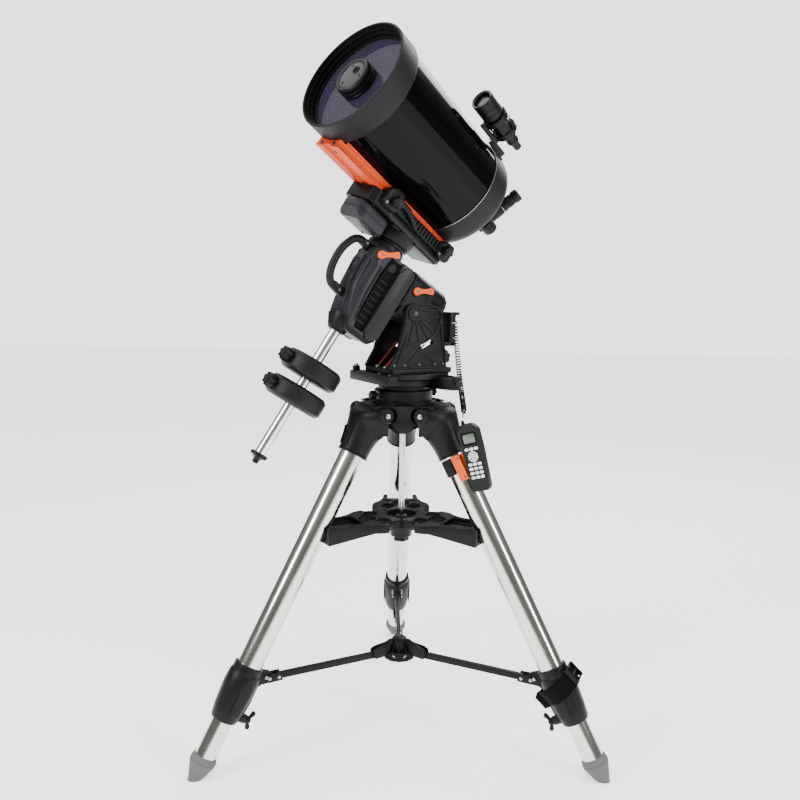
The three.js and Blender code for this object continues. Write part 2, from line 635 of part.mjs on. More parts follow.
// The cast rear cell, with the baffle tube that stands in its middle.
function rearCell() {
  const back = CELL_BACK_X;
  const lip = TUBE_X[0] - GAP;
  const profile = [[25, back], [118, back], [149, -152], [REAR_CELL_R, -128], [REAR_CELL_R, lip], [148, lip],
    [148, -132], [120, -166], [36, -166], [28, 150], [25, 150], [25, back]];
  const focusHole = cylinder(7.5, [-200, -100], 10).translate(...FOCUS_PLACE);
  return alongX(combine([turned(profile, CELL_SIDES)], [focusHole]));
}
addMesh(tube, 'rear_cell', rearCell(), CASTING);

const primary = [[37, -110], [APERTURE_R + 2, -104], [APERTURE_R + 2, -128], [37, -128], [37, -110]];
addMesh(tube, 'primary_mirror', alongX(turned(primary, CELL_SIDES)), MIRROR);

function focusKnob() {
  const stem = cylinder(7, [-176, -150], 10);
  return alongX(combine([stem, lobedKnob(21, 8, 2, [-214, CELL_BACK_X - 1])]));
}
addMesh(group(tube, [0, FOCUS_PLACE[1], -FOCUS_PLACE[0]]), 'focus_knob', focusKnob(), PLASTIC);

// The diagonal turns on the rear port: its barrel lies along X and its eyepiece holder along Y.
const DIAGONAL_X = -262;
const diagonal = group(tube, [0, 0, 0], [58 * DEG, 0, 0]);

function starDiagonal() {
  const x = DIAGONAL_X;
  const barrel = alongX(turned([[0, x], [24, x], [24, -214], [31, -212], [38, -196], [38, CELL_BACK_X - GAP],
    [0, CELL_BACK_X - GAP]], 16));
  const body = slab([[x + 24, -24], [x + 24, 24], [x - 24, 24], [x - 24, 10], [x - 10, -24]], [-22, 22]);
  const holder = turned([[0, 20], [21, 20], [21, 62], [19, 66], [0, 66]], 16).rotateX(-Math.PI / 2);
  const bore = cylinder(16, [30, 80], 16).rotateX(-Math.PI / 2).translate(x, 0, 0);
  return combine([barrel, body, holder.translate(x, 0, 0)], [bore]);
}
addMesh(diagonal, 'star_diagonal', starDiagonal(), BLACK);

const eyepiece = turned([[0, 34], [15.6, 34], [15.6, 66.4], [19, 66.4], [19, 80], [17, 84], [17, 112],
  [19.5, 116], [19.5, 130], [16, 134], [12, 131], [0, 131]], 16);
addMesh(group(diagonal, [DIAGONAL_X, 0, 0], [-Math.PI / 2, 0, 0]), 'eyepiece', eyepiece, BLACK);

// ---------------------------------------------------------------- finder
const FINDER_ANGLE = 62 * DEG;
const FINDER_R = 212;
const finderSide = group(tube, [0, 0, 0], [FINDER_ANGLE, 0, 0]);
const finder = group(finderSide, [0, FINDER_R, 0]);

function finderScope() {
  return alongX(turned([[0, -138], [11, -138], [12, -112], [17, -108], [17, -84], [25, -72], [25, 4], [31, 8],
    [31, 66], [28, 68], [27, 58], [0, 56]], 16));
}
addMesh(finder, 'finder_scope', finderScope(), BLACK);

// Two rings on one foot, which slides onto a shoe on the rear cell.
function finderBracket() {
  const rings = [];
  for (const x of [-60, -8]) {
    rings.push(alongX(ring(34, 25.4, [x - 9, x + 9], 16)));
  }
  const beam = box([-71, 1], [-46, -30], [-11, 11]);
  const stalk = box([-118, -60], [-57, -36], [-9, 9]);
  return combine([...rings, beam, stalk], [alongX(cylinder(25.4, [-80, 20], 16))]);
}
addMesh(finder, 'finder_bracket', finderBracket(), BLACK);

export default model;
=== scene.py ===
"""A catadioptric telescope on an equatorial mount and a steel tripod.

Shapes are built in millimetres in the frame of the piece they belong to and
placed in the row frame, which is in metres.
"""
import math

import bmesh
import bpy
from mathutils import Matrix, Vector


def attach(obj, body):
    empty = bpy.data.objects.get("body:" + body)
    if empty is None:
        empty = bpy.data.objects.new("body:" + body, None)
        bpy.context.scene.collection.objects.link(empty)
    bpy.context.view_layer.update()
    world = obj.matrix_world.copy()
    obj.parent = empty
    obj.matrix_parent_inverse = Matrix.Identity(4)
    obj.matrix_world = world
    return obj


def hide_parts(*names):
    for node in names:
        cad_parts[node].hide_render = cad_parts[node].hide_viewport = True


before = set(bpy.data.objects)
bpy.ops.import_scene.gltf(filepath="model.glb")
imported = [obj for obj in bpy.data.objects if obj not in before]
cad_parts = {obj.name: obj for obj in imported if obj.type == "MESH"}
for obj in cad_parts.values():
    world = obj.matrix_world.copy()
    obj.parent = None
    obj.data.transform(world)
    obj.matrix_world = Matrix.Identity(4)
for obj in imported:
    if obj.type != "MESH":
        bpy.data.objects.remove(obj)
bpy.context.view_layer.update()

# ------------------------------------------------------------ driving sizes, as in the CAD
TRIPOD_AXIS = (-7.8, -148.6)
LEG_HEADING = {"front": 211.4, "right": 331.4, "back": 91.4}
LEG_LEAN = math.radians(29.19)
FOOT_CIRCLE_R = 634
UPPER_TUBE_R = 35
LOWER_TUBE_R = 29.5
CLAMP_LOW, CLAMP_HIGH = 168, 326
LEG_PIVOT_R, LEG_PIVOT_Z = 105, 955
HEAD_TOP_Z = 1017
HEAD_DRUM_R = 84
TRAY_TOP_Z = 645
SPREADER_Z = 200
TRAY_HOLES = ((84, -40, 20), (84, 40, 20), (118, 0, 26))
TRAY_BITE = (108, 37)
LATITUDE = math.radians(32.46)
RA_ANGLE = math.radians(-4.65)
DEC_ANGLE = math.radians(13.8)
PIVOT_N, PIVOT_Z = 7, 1235
AXES_MEET = (146.9, 0, 36)
TUBE_AXIS_Z = 350
TUBE_R = 151
TUBE_BACK, TUBE_FRONT = -75, 312
CELL_FRONT, CELL_BACK = 382, -175
FRONT_CELL_R, REAR_CELL_R = 160, 154
SHAFT_R = 15.5
SHAFT_END_Z = -580
WEIGHT_Z = {"upper": -317, "lower": -398}
FINDER_ANGLE = math.radians(62)
DIAGONAL_ANGLE = math.radians(58)
DIAGONAL_X = -262
HANDSET_MIDDLE = (84, -50, 930)
HANDSET_TURN = math.radians(12)
HANDLE_BAR_R = 11       # the CAD has 9.5
STRAP_MIDDLE = 256
STRAP_LIFT = 14         # the strap sits this far above its solid in the CAD
BACK_ARM_END = 222      # the tray's back arm stops here, and runs to 262 in the CAD
SADDLE_KNOB_Z = 166
JAW_TOP = 181


QUARTER = math.pi / 2


def moved(x=0, y=0, z=0):
    return Matrix.Translation((x, y, z))


def turned(angle, axis):
    return Matrix.Rotation(angle, 4, axis)


# ------------------------------------------------------------ frames, in millimetres
TRIPOD = moved(*TRIPOD_AXIS, 0)
LEG_TURN = {name: TRIPOD @ turned(math.radians(h), "Z") for name, h in LEG_HEADING.items()}
LEG = {name: m @ moved(FOOT_CIRCLE_R) @ turned(-LEG_LEAN, "Y") for name, m in LEG_TURN.items()}
HANDSET = LEG["right"] @ moved(*HANDSET_MIDDLE) @ turned(HANDSET_TURN, "Y")
MOUNT = LEG_TURN["front"]
POLAR = MOUNT @ moved(PIVOT_N, 0, PIVOT_Z) @ turned(-LATITUDE, "Y") @ moved(*AXES_MEET)
RA = POLAR @ turned(RA_ANGLE, "X")
DEC = RA @ turned(DEC_ANGLE, "Z")
TUBE = DEC @ moved(0, 0, TUBE_AXIS_Z)
FINDER = TUBE @ turned(FINDER_ANGLE, "X") @ moved(0, 212, 0)
DIAGONAL = TUBE @ turned(DIAGONAL_ANGLE, "X")
ALONG_X = turned(QUARTER, "Y")          # stands a shape turned about Z along X


# ------------------------------------------------------------ materials
MIX_FACTOR, MIX_A, MIX_B, MIX_RESULT = 0, 6, 7, 2       # the colour sockets of a Mix node


def node(tree, kind, **values):
    made = tree.nodes.new(kind)
    for name, value in values.items():
        if name in made.inputs:
            made.inputs[name].default_value = value
        else:
            setattr(made, name, value)
    return made


def material(name, color, rough=0.5, metal=0.0, bump=0.0, grain=900.0, vary=0.06, rough_vary=0.08,
             coat=0.0, specular=0.5, stretch=(1, 1, 1), transmission=0.0, sheen=0.0, depth=0.0002):
    """A finish whose colour, roughness and fine relief follow noise fixed to the piece."""
    made = bpy.data.materials.new(name)
    made.use_nodes = True
    tree = made.node_tree
    shader = tree.nodes["Principled BSDF"]
    shader.inputs["Metallic"].default_value = metal
    shader.inputs["Specular IOR Level"].default_value = specular
    shader.inputs["Coat Weight"].default_value = coat
    shader.inputs["Coat Roughness"].default_value = 0.04
    shader.inputs["Transmission Weight"].default_value = transmission
    shader.inputs["Sheen Weight"].default_value = sheen
    where = node(tree, "ShaderNodeTexCoord")
    fit = node(tree, "ShaderNodeMapping", Scale=stretch)
    tree.links.new(where.outputs["Object"], fit.inputs["Vector"])
    broad = node(tree, "ShaderNodeTexNoise", Scale=grain / 22, Detail=3.0)
    tree.links.new(fit.outputs["Vector"], broad.inputs["Vector"])
    tint = node(tree, "ShaderNodeMix", data_type="RGBA")
    low = [c * (1 - vary) for c in color]
    high = [min(1.0, c * (1 + vary)) for c in color]
    tint.inputs[MIX_A].default_value = (*low, 1)
    tint.inputs[MIX_B].default_value = (*high, 1)
    tree.links.new(broad.outputs["Fac"], tint.inputs[MIX_FACTOR])
    tree.links.new(tint.outputs[MIX_RESULT], shader.inputs["Base Color"])
    spread = node(tree, "ShaderNodeMapRange")
    spread.inputs["To Min"].default_value = max(0.02, rough - rough_vary)
    spread.inputs["To Max"].default_value = min(1.0, rough + rough_vary)
    tree.links.new(broad.outputs["Fac"], spread.inputs["Value"])
    tree.links.new(spread.outputs["Result"], shader.inputs["Roughness"])
    if bump:
        fine = node(tree, "ShaderNodeTexNoise", Scale=grain, Detail=2.0)
        tree.links.new(fit.outputs["Vector"], fine.inputs["Vector"])
        relief = node(tree, "ShaderNodeBump", Strength=bump, Distance=depth)
        tree.links.new(fine.outputs["Fac"], relief.inputs["Height"])
        tree.links.new(relief.outputs["Normal"], shader.inputs["Normal"])
    return made


def weave(name, color, scale):
    """Webbing: crossed ribs."""
    made = material(name, color, rough=0.85, vary=0.12, specular=0.1)
    tree = made.node_tree
    shader = tree.nodes["Principled BSDF"]
    where = node(tree, "ShaderNodeTexCoord")
    ribs = []
    for axis in ("X", "Z"):
        wave = node(tree, "ShaderNodeTexWave", Scale=scale, Distortion=0.3)
        wave.bands_direction = axis
        tree.links.new(where.outputs["Object"], wave.inputs["Vector"])
        ribs.append(wave)
    both = node(tree, "ShaderNodeMath", operation="MAXIMUM")
    tree.links.new(ribs[0].outputs["Fac"], both.inputs[0])
    tree.links.new(ribs[1].outputs["Fac"], both.inputs[1])
    relief = node(tree, "ShaderNodeBump", Strength=0.6, Distance=0.0004)
    tree.links.new(both.outputs["Value"], relief.inputs["Height"])
    tree.links.new(relief.outputs["Normal"], shader.inputs["Normal"])
    return made


GLOSS = material("tube_gloss_black", (0.0012, 0.0012, 0.0014), rough=0.07, rough_vary=0.015,
                 coat=0.06, grain=90, vary=0.1,
                 specular=0.07)
SATIN = material("satin_black_metal", (0.0055, 0.0056, 0.006), rough=0.36, metal=0.05, bump=0.1,
                 grain=1400, specular=0.15)
CELL = material("textured_black_cell", (0.0085, 0.0089, 0.0095), rough=0.47, metal=0.05,
                bump=0.25, grain=1300,
                 specular=0.15)
CAST = material("black_powder_coat", (0.0052, 0.0053, 0.0057), rough=0.4, metal=0.05, bump=0.3,
                grain=1100,
                 specular=0.15)
DARK = material("deep_matt_black", (0.002, 0.002, 0.0022), rough=0.7, grain=600, bump=0.1,
                 specular=0.1)
GREY = material("grey_violet_metal", (0.017, 0.0162, 0.0205), rough=0.36, metal=0.1, bump=0.2,
                grain=1200,
                 specular=0.22)
BAND = material("lighter_band_metal", (0.01, 0.0098, 0.0115), rough=0.34, metal=0.1, bump=0.2,
                grain=1200,
                 specular=0.2)
STEEL = material("polished_leg_steel", (0.74, 0.715, 0.665), rough=0.15, metal=1.0,
                 rough_vary=0.05, grain=500, vary=0.03, bump=0.05, stretch=(1, 1, 0.04))
CHROME = material("shaft_chrome", (0.86, 0.86, 0.85), rough=0.2, metal=1.0, rough_vary=0.04, grain=700,
                  vary=0.02)
BOLT = material("zinc_bolt", (0.5, 0.49, 0.47), rough=0.3, metal=1.0, grain=900, bump=0.1)
DULL = material("dull_dark_screw", (0.1, 0.1, 0.1), rough=0.35, metal=0.9, grain=900, bump=0.1)
IRON = material("counterweight_paint", (0.0085, 0.0085, 0.0098), rough=0.46, metal=0.05, bump=0.5,
                grain=900,
                 specular=0.16)
PLASTIC = material("black_plastic", (0.0045, 0.0045, 0.005), rough=0.42, bump=0.3, grain=1500,
                 specular=0.15)
HANDSET_SHELL = material("handset_plastic", (0.009, 0.0102, 0.0096), rough=0.45, bump=0.35, grain=1600,
                 specular=0.18)
HANDLE = material("handle_rubber", (0.0085, 0.0088, 0.0094), rough=0.45, bump=0.55, grain=1500,
                  depth=0.0004,
                 specular=0.18)
ORANGE = material("orange_lever_plastic", (0.72, 0.1, 0.014), rough=0.45, bump=0.08,
                  specular=0.2)
ANODISED = material("orange_anodised", (0.62, 0.06, 0.012), rough=0.5, metal=0.1, bump=0.1, grain=800,
                    stretch=(1, 1, 0.3), specular=0.12)
RED_ROD = material("red_rod", (0.3, 0.03, 0.014), rough=0.35, metal=0.4)
RUBBER = material("grey_foot_rubber", (0.105, 0.1, 0.104), rough=0.78, bump=0.45, grain=800, vary=0.12)
KEY = material("backlit_key", (0.74, 0.76, 0.73), rough=0.42, bump=0.08, vary=0.03)
LCD = material("display_glass", (0.085, 0.115, 0.085), rough=0.12, coat=0.5, vary=0.15)
# Corrector: a partly opaque dark purple sheet. The purple is the coating's tint; the darkness and opacity
# are painted shade of the tube inside, laid over what is clear glass.
CORRECTOR_TINT_AND_PAINTED_SHADE = material("corrector_tint_and_painted_shade", (0.04, 0.03, 0.056), rough=0.05, rough_vary=0.01, vary=0.02,
                 grain=60, specular=0.18)
CORRECTOR_TINT_AND_PAINTED_SHADE.node_tree.nodes["Principled BSDF"].inputs["Alpha"].default_value = 0.6
LENS = material("coated_lens", (0.02, 0.022, 0.04), rough=0.04, rough_vary=0.01, coat=1.0)
# Mirror colour: painted dark reflection. The near-black purple stands in for the dim reflection of the
# shaded tube inside, in place of bright aluminium.
MIRROR_PAINTED_DARK_REFLECTION = material("mirror_painted_dark_reflection", (0.05, 0.034, 0.066), rough=0.04, metal=1.0,
                  rough_vary=0.01, vary=0.01)
SILVER = material("secondary_face", (0.05, 0.048, 0.053), rough=0.24, metal=0.8, grain=260,
                  bump=0.1, vary=0.3)
WEBBING = weave("black_webbing", (0.0014, 0.0014, 0.0016), 700)
CORD = material("cord_jacket", (0.0015, 0.0015, 0.0018), rough=0.5, bump=0.1, specular=0.08)


# ------------------------------------------------------------ shape helpers
def from_bmesh(bm, look, angle=32):
    """A new object of this shape, smooth except at its sharp edges."""
    bmesh.ops.recalc_face_normals(bm, faces=bm.faces)
    limit = math.radians(angle)
    for face in bm.faces:
        face.smooth = True
    for edge in bm.edges:
        if len(edge.link_faces) == 2:
            edge.smooth = edge.calc_face_angle(0) < limit
    mesh = bpy.data.meshes.new("shape")
    bm.to_mesh(mesh)
    bm.free()
    made = bpy.data.objects.new("shape", mesh)
    bpy.context.scene.collection.objects.link(made)
    made.data.materials.append(look)
    return made


def rounded(bm, width, steps=2, angle=30):
    """Rounds every edge sharper than the angle."""
    if width:
        limit = math.radians(angle)
        edges = [e for e in bm.edges if len(e.link_faces) == 2 and e.calc_face_angle(0) > limit]
        bmesh.ops.bevel(bm, geom=edges, offset=width, segments=steps, profile=0.5, affect="EDGES",
                        clamp_overlap=True)


def lathe(profile, look, sides=72, angle=32):
    """A solid of revolution about Z from [radius, z] points; it closes on the axis or on itself."""
    bm = bmesh.new()
    rings = []
    for r, z in profile:
        if r < 1e-6:
            rings.append([bm.verts.new((0, 0, z))])
        else:
            steps = (2 * math.pi * i / sides for i in range(sides))
            rings.append([bm.verts.new((r * math.cos(t), r * math.sin(t), z)) for t in steps])
    closed = profile[0][0] > 1e-6
    pairs = list(zip(rings, rings[1:]))
    if closed:
        pairs.append((rings[-1], rings[0]))
    for a, b in pairs:
        for i in range(sides):
            j = (i + 1) % sides
            corners = [a[i % len(a)], a[j % len(a)], b[j % len(b)], b[i % len(b)]]
            unique = list(dict.fromkeys(corners))
            if len(unique) > 2:
                bm.faces.new(unique)
    return from_bmesh(bm, look, angle)


def cylinder(r, z0, z1, look, sides=48, edge=0.0):
    if edge:
        return lathe([(0, z0), (r - edge, z0), (r, z0 + edge), (r, z1 - edge), (r - edge, z1),
                      (0, z1)], look,
                     sides)
    return lathe([(0, z0), (r, z0), (r, z1), (0, z1)], look, sides)


def ring(outer, inner, z0, z1, look, sides=72, edge=0.8):
    return lathe([(inner, z0), (outer - edge, z0), (outer, z0 + edge), (outer, z1 - edge),
                  (outer - edge, z1), (inner, z1)], look, sides)


def prism(outline, z0, z1, look, edge=1.0, steps=2, angle=30):
    """An outline in XY, pushed from z0 to z1, with rounded edges."""
    bm = bmesh.new()
    low = [bm.verts.new((x, y, z0)) for x, y in outline]
    high = [bm.verts.new((x, y, z1)) for x, y in outline]
    bm.faces.new(list(reversed(low)))
    bm.faces.new(high)
    count = len(outline)
    for i in range(count):
        j = (i + 1) % count
        bm.faces.new([low[i], low[j], high[j], high[i]])
    bmesh.ops.recalc_face_normals(bm, faces=bm.faces)
    rounded(bm, edge, steps, angle)
    return from_bmesh(bm, look)


def side_prism(outline, y0, y1, look, edge=1.0, steps=2, angle=30):
    """An outline in XZ, pushed along Y from y0 to y1."""
    made = prism(outline, -y1, -y0, look, edge, steps, angle)
    return placed(made, turned(QUARTER, "X"))


def end_prism(outline, x0, x1, look, edge=1.0, steps=2, angle=30):
    """An outline in YZ, pushed along X from x0 to x1."""
    made = prism(outline, x0, x1, look, edge, steps, angle)
    return placed(made, turned(QUARTER, "Z") @ turned(QUARTER, "X"))


def block(xs, ys, zs, look, edge=1.0, steps=2):
    (x0, x1), (y0, y1), (z0, z1) = xs, ys, zs
    return prism([(x0, y0), (x1, y0), (x1, y1), (x0, y1)], z0, z1, look, edge, steps)


def placed(made, matrix):
    made.data.transform(matrix)
    if matrix.determinant() < 0:
        made.data.flip_normals()
    return made


def at(made, x=0, y=0, z=0):
    return placed(made, moved(x, y, z))


def arc(cx, cy, r, start, end, steps=10):
    """Points along an arc, in degrees."""
    span = (math.radians(start + (end - start) * i / steps) for i in range(steps + 1))
    return [(cx + r * math.cos(t), cy + r * math.sin(t)) for t in span]


def round_rect(x0, x1, y0, y1, r, steps=5):
    return (arc(x1 - r, y0 + r, r, -90, 0, steps) + arc(x1 - r, y1 - r, r, 0, 90, steps)
            + arc(x0 + r, y1 - r, r, 90, 180, steps) + arc(x0 + r, y0 + r, r, 180, 270, steps))


def lobes(radius, count, deep, steps=8):
    """A knob's outline with round lobes."""
    total = count * steps
    points = []
    for i in range(total):
        t = 2 * math.pi * i / total
        r = radius - deep * (0.5 - 0.5 * math.cos(count * t))
        points.append((r * math.cos(t), r * math.sin(t)))
    return points


def polygon(sides, r, turn=0.0):
    return [(r * math.cos(turn + 2 * math.pi * i / sides), r * math.sin(turn + 2 * math.pi * i / sides))
            for i in range(sides)]


def sweep(points, radius, look, sides=16, cap=True, smooth_steps=0):
    """A round bar along the points; radius is a number or one per point."""
    path = [Vector(p) for p in points]
    if smooth_steps:
        path = smoothed(path, smooth_steps)
    count = len(path)
    radii = [radius] * count if not hasattr(radius, "__len__") else radius
    if len(radii) != count:
        radii = [radii[0] + (radii[-1] - radii[0]) * i / (count - 1) for i in range(count)]
    ahead = (path[1] - path[0]).normalized()
    side = ahead.orthogonal().normalized()
    bm = bmesh.new()
    rings = []
    for i, point in enumerate(path):
        before = path[max(0, i - 1)]
        after = path[min(count - 1, i + 1)]
        way = (after - before).normalized()
        side = (side - way * side.dot(way)).normalized()
        up = way.cross(side)
        loop = []
        for k in range(sides):
            t = 2 * math.pi * k / sides
            loop.append(bm.verts.new(point + (side * math.cos(t) + up * math.sin(t)) * radii[i]))
        rings.append(loop)
    for a, b in zip(rings, rings[1:]):
        for i in range(sides):
            j = (i + 1) % sides
            bm.faces.new([a[i], a[j], b[j], b[i]])
    if cap:
        bm.faces.new(list(reversed(rings[0])))
        bm.faces.new(rings[-1])
    return from_bmesh(bm, look, 50)


def smoothed(path, steps):
    """Points of a Catmull-Rom curve through the path."""
    result = []
    for i in range(len(path) - 1):
        p0 = path[max(0, i - 1)]
        p1, p2 = path[i], path[i + 1]
        p3 = path[min(len(path) - 1, i + 2)]
        for k in range(steps):
            t = k / steps
            a = (p2 - p0) * 0.5
            b = (p3 - p1) * 0.5
            h = (2 * t ** 3 - 3 * t ** 2 + 1, t ** 3 - 2 * t ** 2 + t, -2 * t ** 3 + 3 * t ** 2,
                 t ** 3 - t ** 2)
            result.append(p1 * h[0] + a * h[1] + p2 * h[2] + b * h[3])
    result.append(path[-1])
    return result


def baked(made):
    """Applies the object's modifiers to its mesh."""
    bpy.context.view_layer.update()
    graph = bpy.context.evaluated_depsgraph_get()
    mesh = bpy.data.meshes.new_from_object(made.evaluated_get(graph))
    old = made.data
    made.modifiers.clear()
    made.data = mesh
    bpy.data.meshes.remove(old)
    return made


def dropped(made):
    mesh = made.data
    bpy.data.objects.remove(made)
    bpy.data.meshes.remove(mesh)


def boolean(made, others, how):
    for other in others:
        step = made.modifiers.new("cut", "BOOLEAN")
        step.operation = how
        step.object = other
        step.solver = "EXACT"
    baked(made)
    for other in others:
        dropped(other)
    return made


def cut(made, *others):
    return boolean(made, others, "DIFFERENCE")


def fused(made, *others):
    return boolean(made, others, "UNION")


def overlap(made, *others):
    return boolean(made, others, "INTERSECT")


def resharpened(made, angle=32):
    """Sets smooth and sharp edges again, after a boolean."""
    bm = bmesh.new()
    bm.from_mesh(made.data)
    limit = math.radians(angle)
    for face in bm.faces:
        face.smooth = True
    for edge in bm.edges:
        edge.smooth = len(edge.link_faces) == 2 and edge.calc_face_angle(0) < limit
    bm.to_mesh(made.data)
    bm.free()
    return made


def softened(made, width, steps=2, angle=35):
    """Rounds the sharp edges of a finished shape."""
    step = made.modifiers.new("edge", "BEVEL")
    step.width = width
    step.segments = steps
    step.limit_method = "ANGLE"
    step.angle_limit = math.radians(angle)
    step.use_clamp_overlap = True
    baked(made)
    return resharpened(made)


def blended(made, voxel, rounds=6):
    """Melts joined shapes into one casting with filleted corners."""
    step = made.modifiers.new("skin", "REMESH")
    step.mode = "VOXEL"
    step.voxel_size = voxel
    calm = made.modifiers.new("calm", "SMOOTH")
    calm.iterations = rounds
    calm.factor = 0.5
    baked(made)
    return resharpened(made, 50)


def together(shapes):
    """Joins shapes into one object, each keeping its material."""
    bm = bmesh.new()
    looks = []
    for shape in shapes:
        slots = []
        for look in shape.data.materials:
            if look not in looks:
                looks.append(look)
            slots.append(looks.index(look))
        first = len(bm.faces)
        bm.from_mesh(shape.data)
        bm.faces.ensure_lookup_table()
        for face in bm.faces[first:]:
            face.material_index = slots[min(face.material_index, len(slots) - 1)]
    mesh = bpy.data.meshes.new("piece")
    bm.to_mesh(mesh)
    bm.free()
    for look in looks:
        mesh.materials.append(look)
    made = bpy.data.objects.new("piece", mesh)
    bpy.context.scene.collection.objects.link(made)
    for shape in shapes:
        dropped(shape)
    return made


def piece(name, shapes, place, body, *nodes, slot=None):
    """The shapes as one piece of the object, placed, riding on a body in place of CAD nodes."""
    made = together(shapes)
    made.name = name
    made.data.name = name
    placed(made, Matrix.Scale(0.001, 4) @ place)
    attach(made, body)
    if nodes:
        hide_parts(*nodes)
    return made


def hex_bolt(r, height, look=None):
    """A hexagon head on a washer, standing on z 0."""
    look = look or BOLT
    washer = cylinder(r * 1.35, 0, 1.2, look, 32, 0.3)
    head = prism(polygon(6, r), 1, height, look, 0.6)
    return together([washer, head])


def cap_screw(r, height, look=None):
    """A socket-head screw, standing on z 0."""
    look = look or BOLT
    head = cylinder(r, 0, height, look, 28, 0.5)
    socket = prism(polygon(6, r * 0.5), height * 0.4, height + 1, DARK, 0)
    return resharpened(cut(head, socket))


# ------------------------------------------------------------ camera, light and floor
ZENITH = 1.9            # radiance overhead
BACKDROP = 2.5          # radiance of the plain wall behind the object
FLOOR_GLOW = 1.0        # evens out the floor, as a lit sweep does


def camera():
    """The photograph's view: a standing height a little over two metres off, tilted down."""
    yaw, pitch, roll = math.radians(-0.22), math.radians(7.9), math.radians(0.91)
    ahead = Vector((math.sin(yaw) * math.cos(pitch), math.cos(yaw) * math.cos(pitch), -math.sin(pitch)))
    level = Vector((math.cos(yaw), -math.sin(yaw), 0))
    above = level.cross(ahead)
    right = level * math.cos(roll) + above * math.sin(roll)
    up = above * math.cos(roll) - level * math.sin(roll)
    lens = bpy.data.cameras.new("camera")
    lens.lens = 37.305
    lens.sensor_width = 36
    lens.clip_end = 60
    made = bpy.data.objects.new("camera", lens)
    bpy.context.scene.collection.objects.link(made)
    spot = Vector((TRIPOD_AXIS[0], TRIPOD_AXIS[1] - 2380, 1313)) * 0.001
    turn = Matrix((right, up, -ahead)).transposed().to_4x4()
    made.matrix_world = Matrix.Translation(spot) @ turn
    bpy.context.scene.camera = made


def softbox(name, spot, aim, size, power, color=(1, 1, 1)):
    light = bpy.data.lights.new(name, "AREA")
    light.shape = "RECTANGLE"
    light.size, light.size_y = size
    light.energy = power
    light.color = color
    made = bpy.data.objects.new(name, light)
    bpy.context.scene.collection.objects.link(made)
    way = Vector(aim) - Vector(spot)
    made.matrix_world = Matrix.Translation(spot) @ way.to_track_quat("-Z", "Y").to_matrix().to_4x4()


def studio():
    """A room that is bright overhead and dim round the sides, with three softboxes."""
    world = bpy.data.worlds.new("studio")
    bpy.context.scene.world = world
    world.use_nodes = True
    tree = world.node_tree
    back = tree.nodes["Background"]
    where = node(tree, "ShaderNodeTexCoord")
    parts = node(tree, "ShaderNodeSeparateXYZ")
    tree.links.new(where.outputs["Generated"], parts.inputs["Vector"])
    shade = node(tree, "ShaderNodeValToRGB")
    ramp = shade.color_ramp
    ramp.elements[0].position = 0.0
    ramp.elements[0].color = (0.3, 0.3, 0.3, 1)
    ramp.elements[1].position = 1.0
    ramp.elements[1].color = (ZENITH, ZENITH, ZENITH, 1)
    for spot, level in ((0.16, 0.12), (0.42, 0.3), (0.7, ZENITH)):
        stop = ramp.elements.new(spot)
        stop.color = (level, level, level, 1)
    tree.links.new(parts.outputs["Z"], shade.inputs["Fac"])
    seen = node(tree, "ShaderNodeLightPath")
    pick = node(tree, "ShaderNodeMix", data_type="RGBA")
    pick.inputs[MIX_B].default_value = (BACKDROP, BACKDROP, BACKDROP, 1)
    tree.links.new(seen.outputs["Is Camera Ray"], pick.inputs[MIX_FACTOR])
    tree.links.new(shade.outputs["Color"], pick.inputs[MIX_A])
    tree.links.new(pick.outputs[MIX_RESULT], back.inputs["Color"])
    back.inputs["Strength"].default_value = 1.0
    softbox("key", (-2.9, -2.2, 2.9), (0, 0, 1.0), (1.2, 2.4), 150)
    softbox("fill", (2.9, -2.0, 2.3), (0, 0, 1.0), (0.7, 2.4), 90)
    softbox("rear", (1.6, 2.6, 3.0), (0, 0, 1.0), (1.6, 2.0), 60)


def floor():
    bm = bmesh.new()
    bmesh.ops.create_grid(bm, x_segments=1, y_segments=1, size=14)
    look = material("pale_floor", (0.95, 0.95, 0.95), rough=0.7, grain=20, vary=0.002)
    shader = look.node_tree.nodes["Principled BSDF"]
    shader.inputs["Emission Color"].default_value = (1, 1, 1, 1)
    shader.inputs["Emission Strength"].default_value = FLOOR_GLOW
    made = from_bmesh(bm, look)
    made.name = "floor"
    made.location.z = -0.0005


camera()
studio()
floor()


# ------------------------------------------------------------ the curly cord
CORD_ROUTE = [
    (149.4, 91.1, 1226), (150.8, 90.2, 1200), (154.6, 82.8, 1150), (160, 63, 1100), (164, 34, 1050),
    (167, -4, 1015), (168.5, -48, 992), (168.5, -88, 980), (167.5, -118, 969), (164, -137.3, 954.5),
]
CORD_WIRE = 3.4
COIL_R = 6.7
COIL_PITCH = 8.2
BEND_R = 7.9            # the tightest the wire may bend
STRAIGHT = 4            # uncoiled wire at each end
OPENING_LENGTH = 26     # where the coil widens to its full size


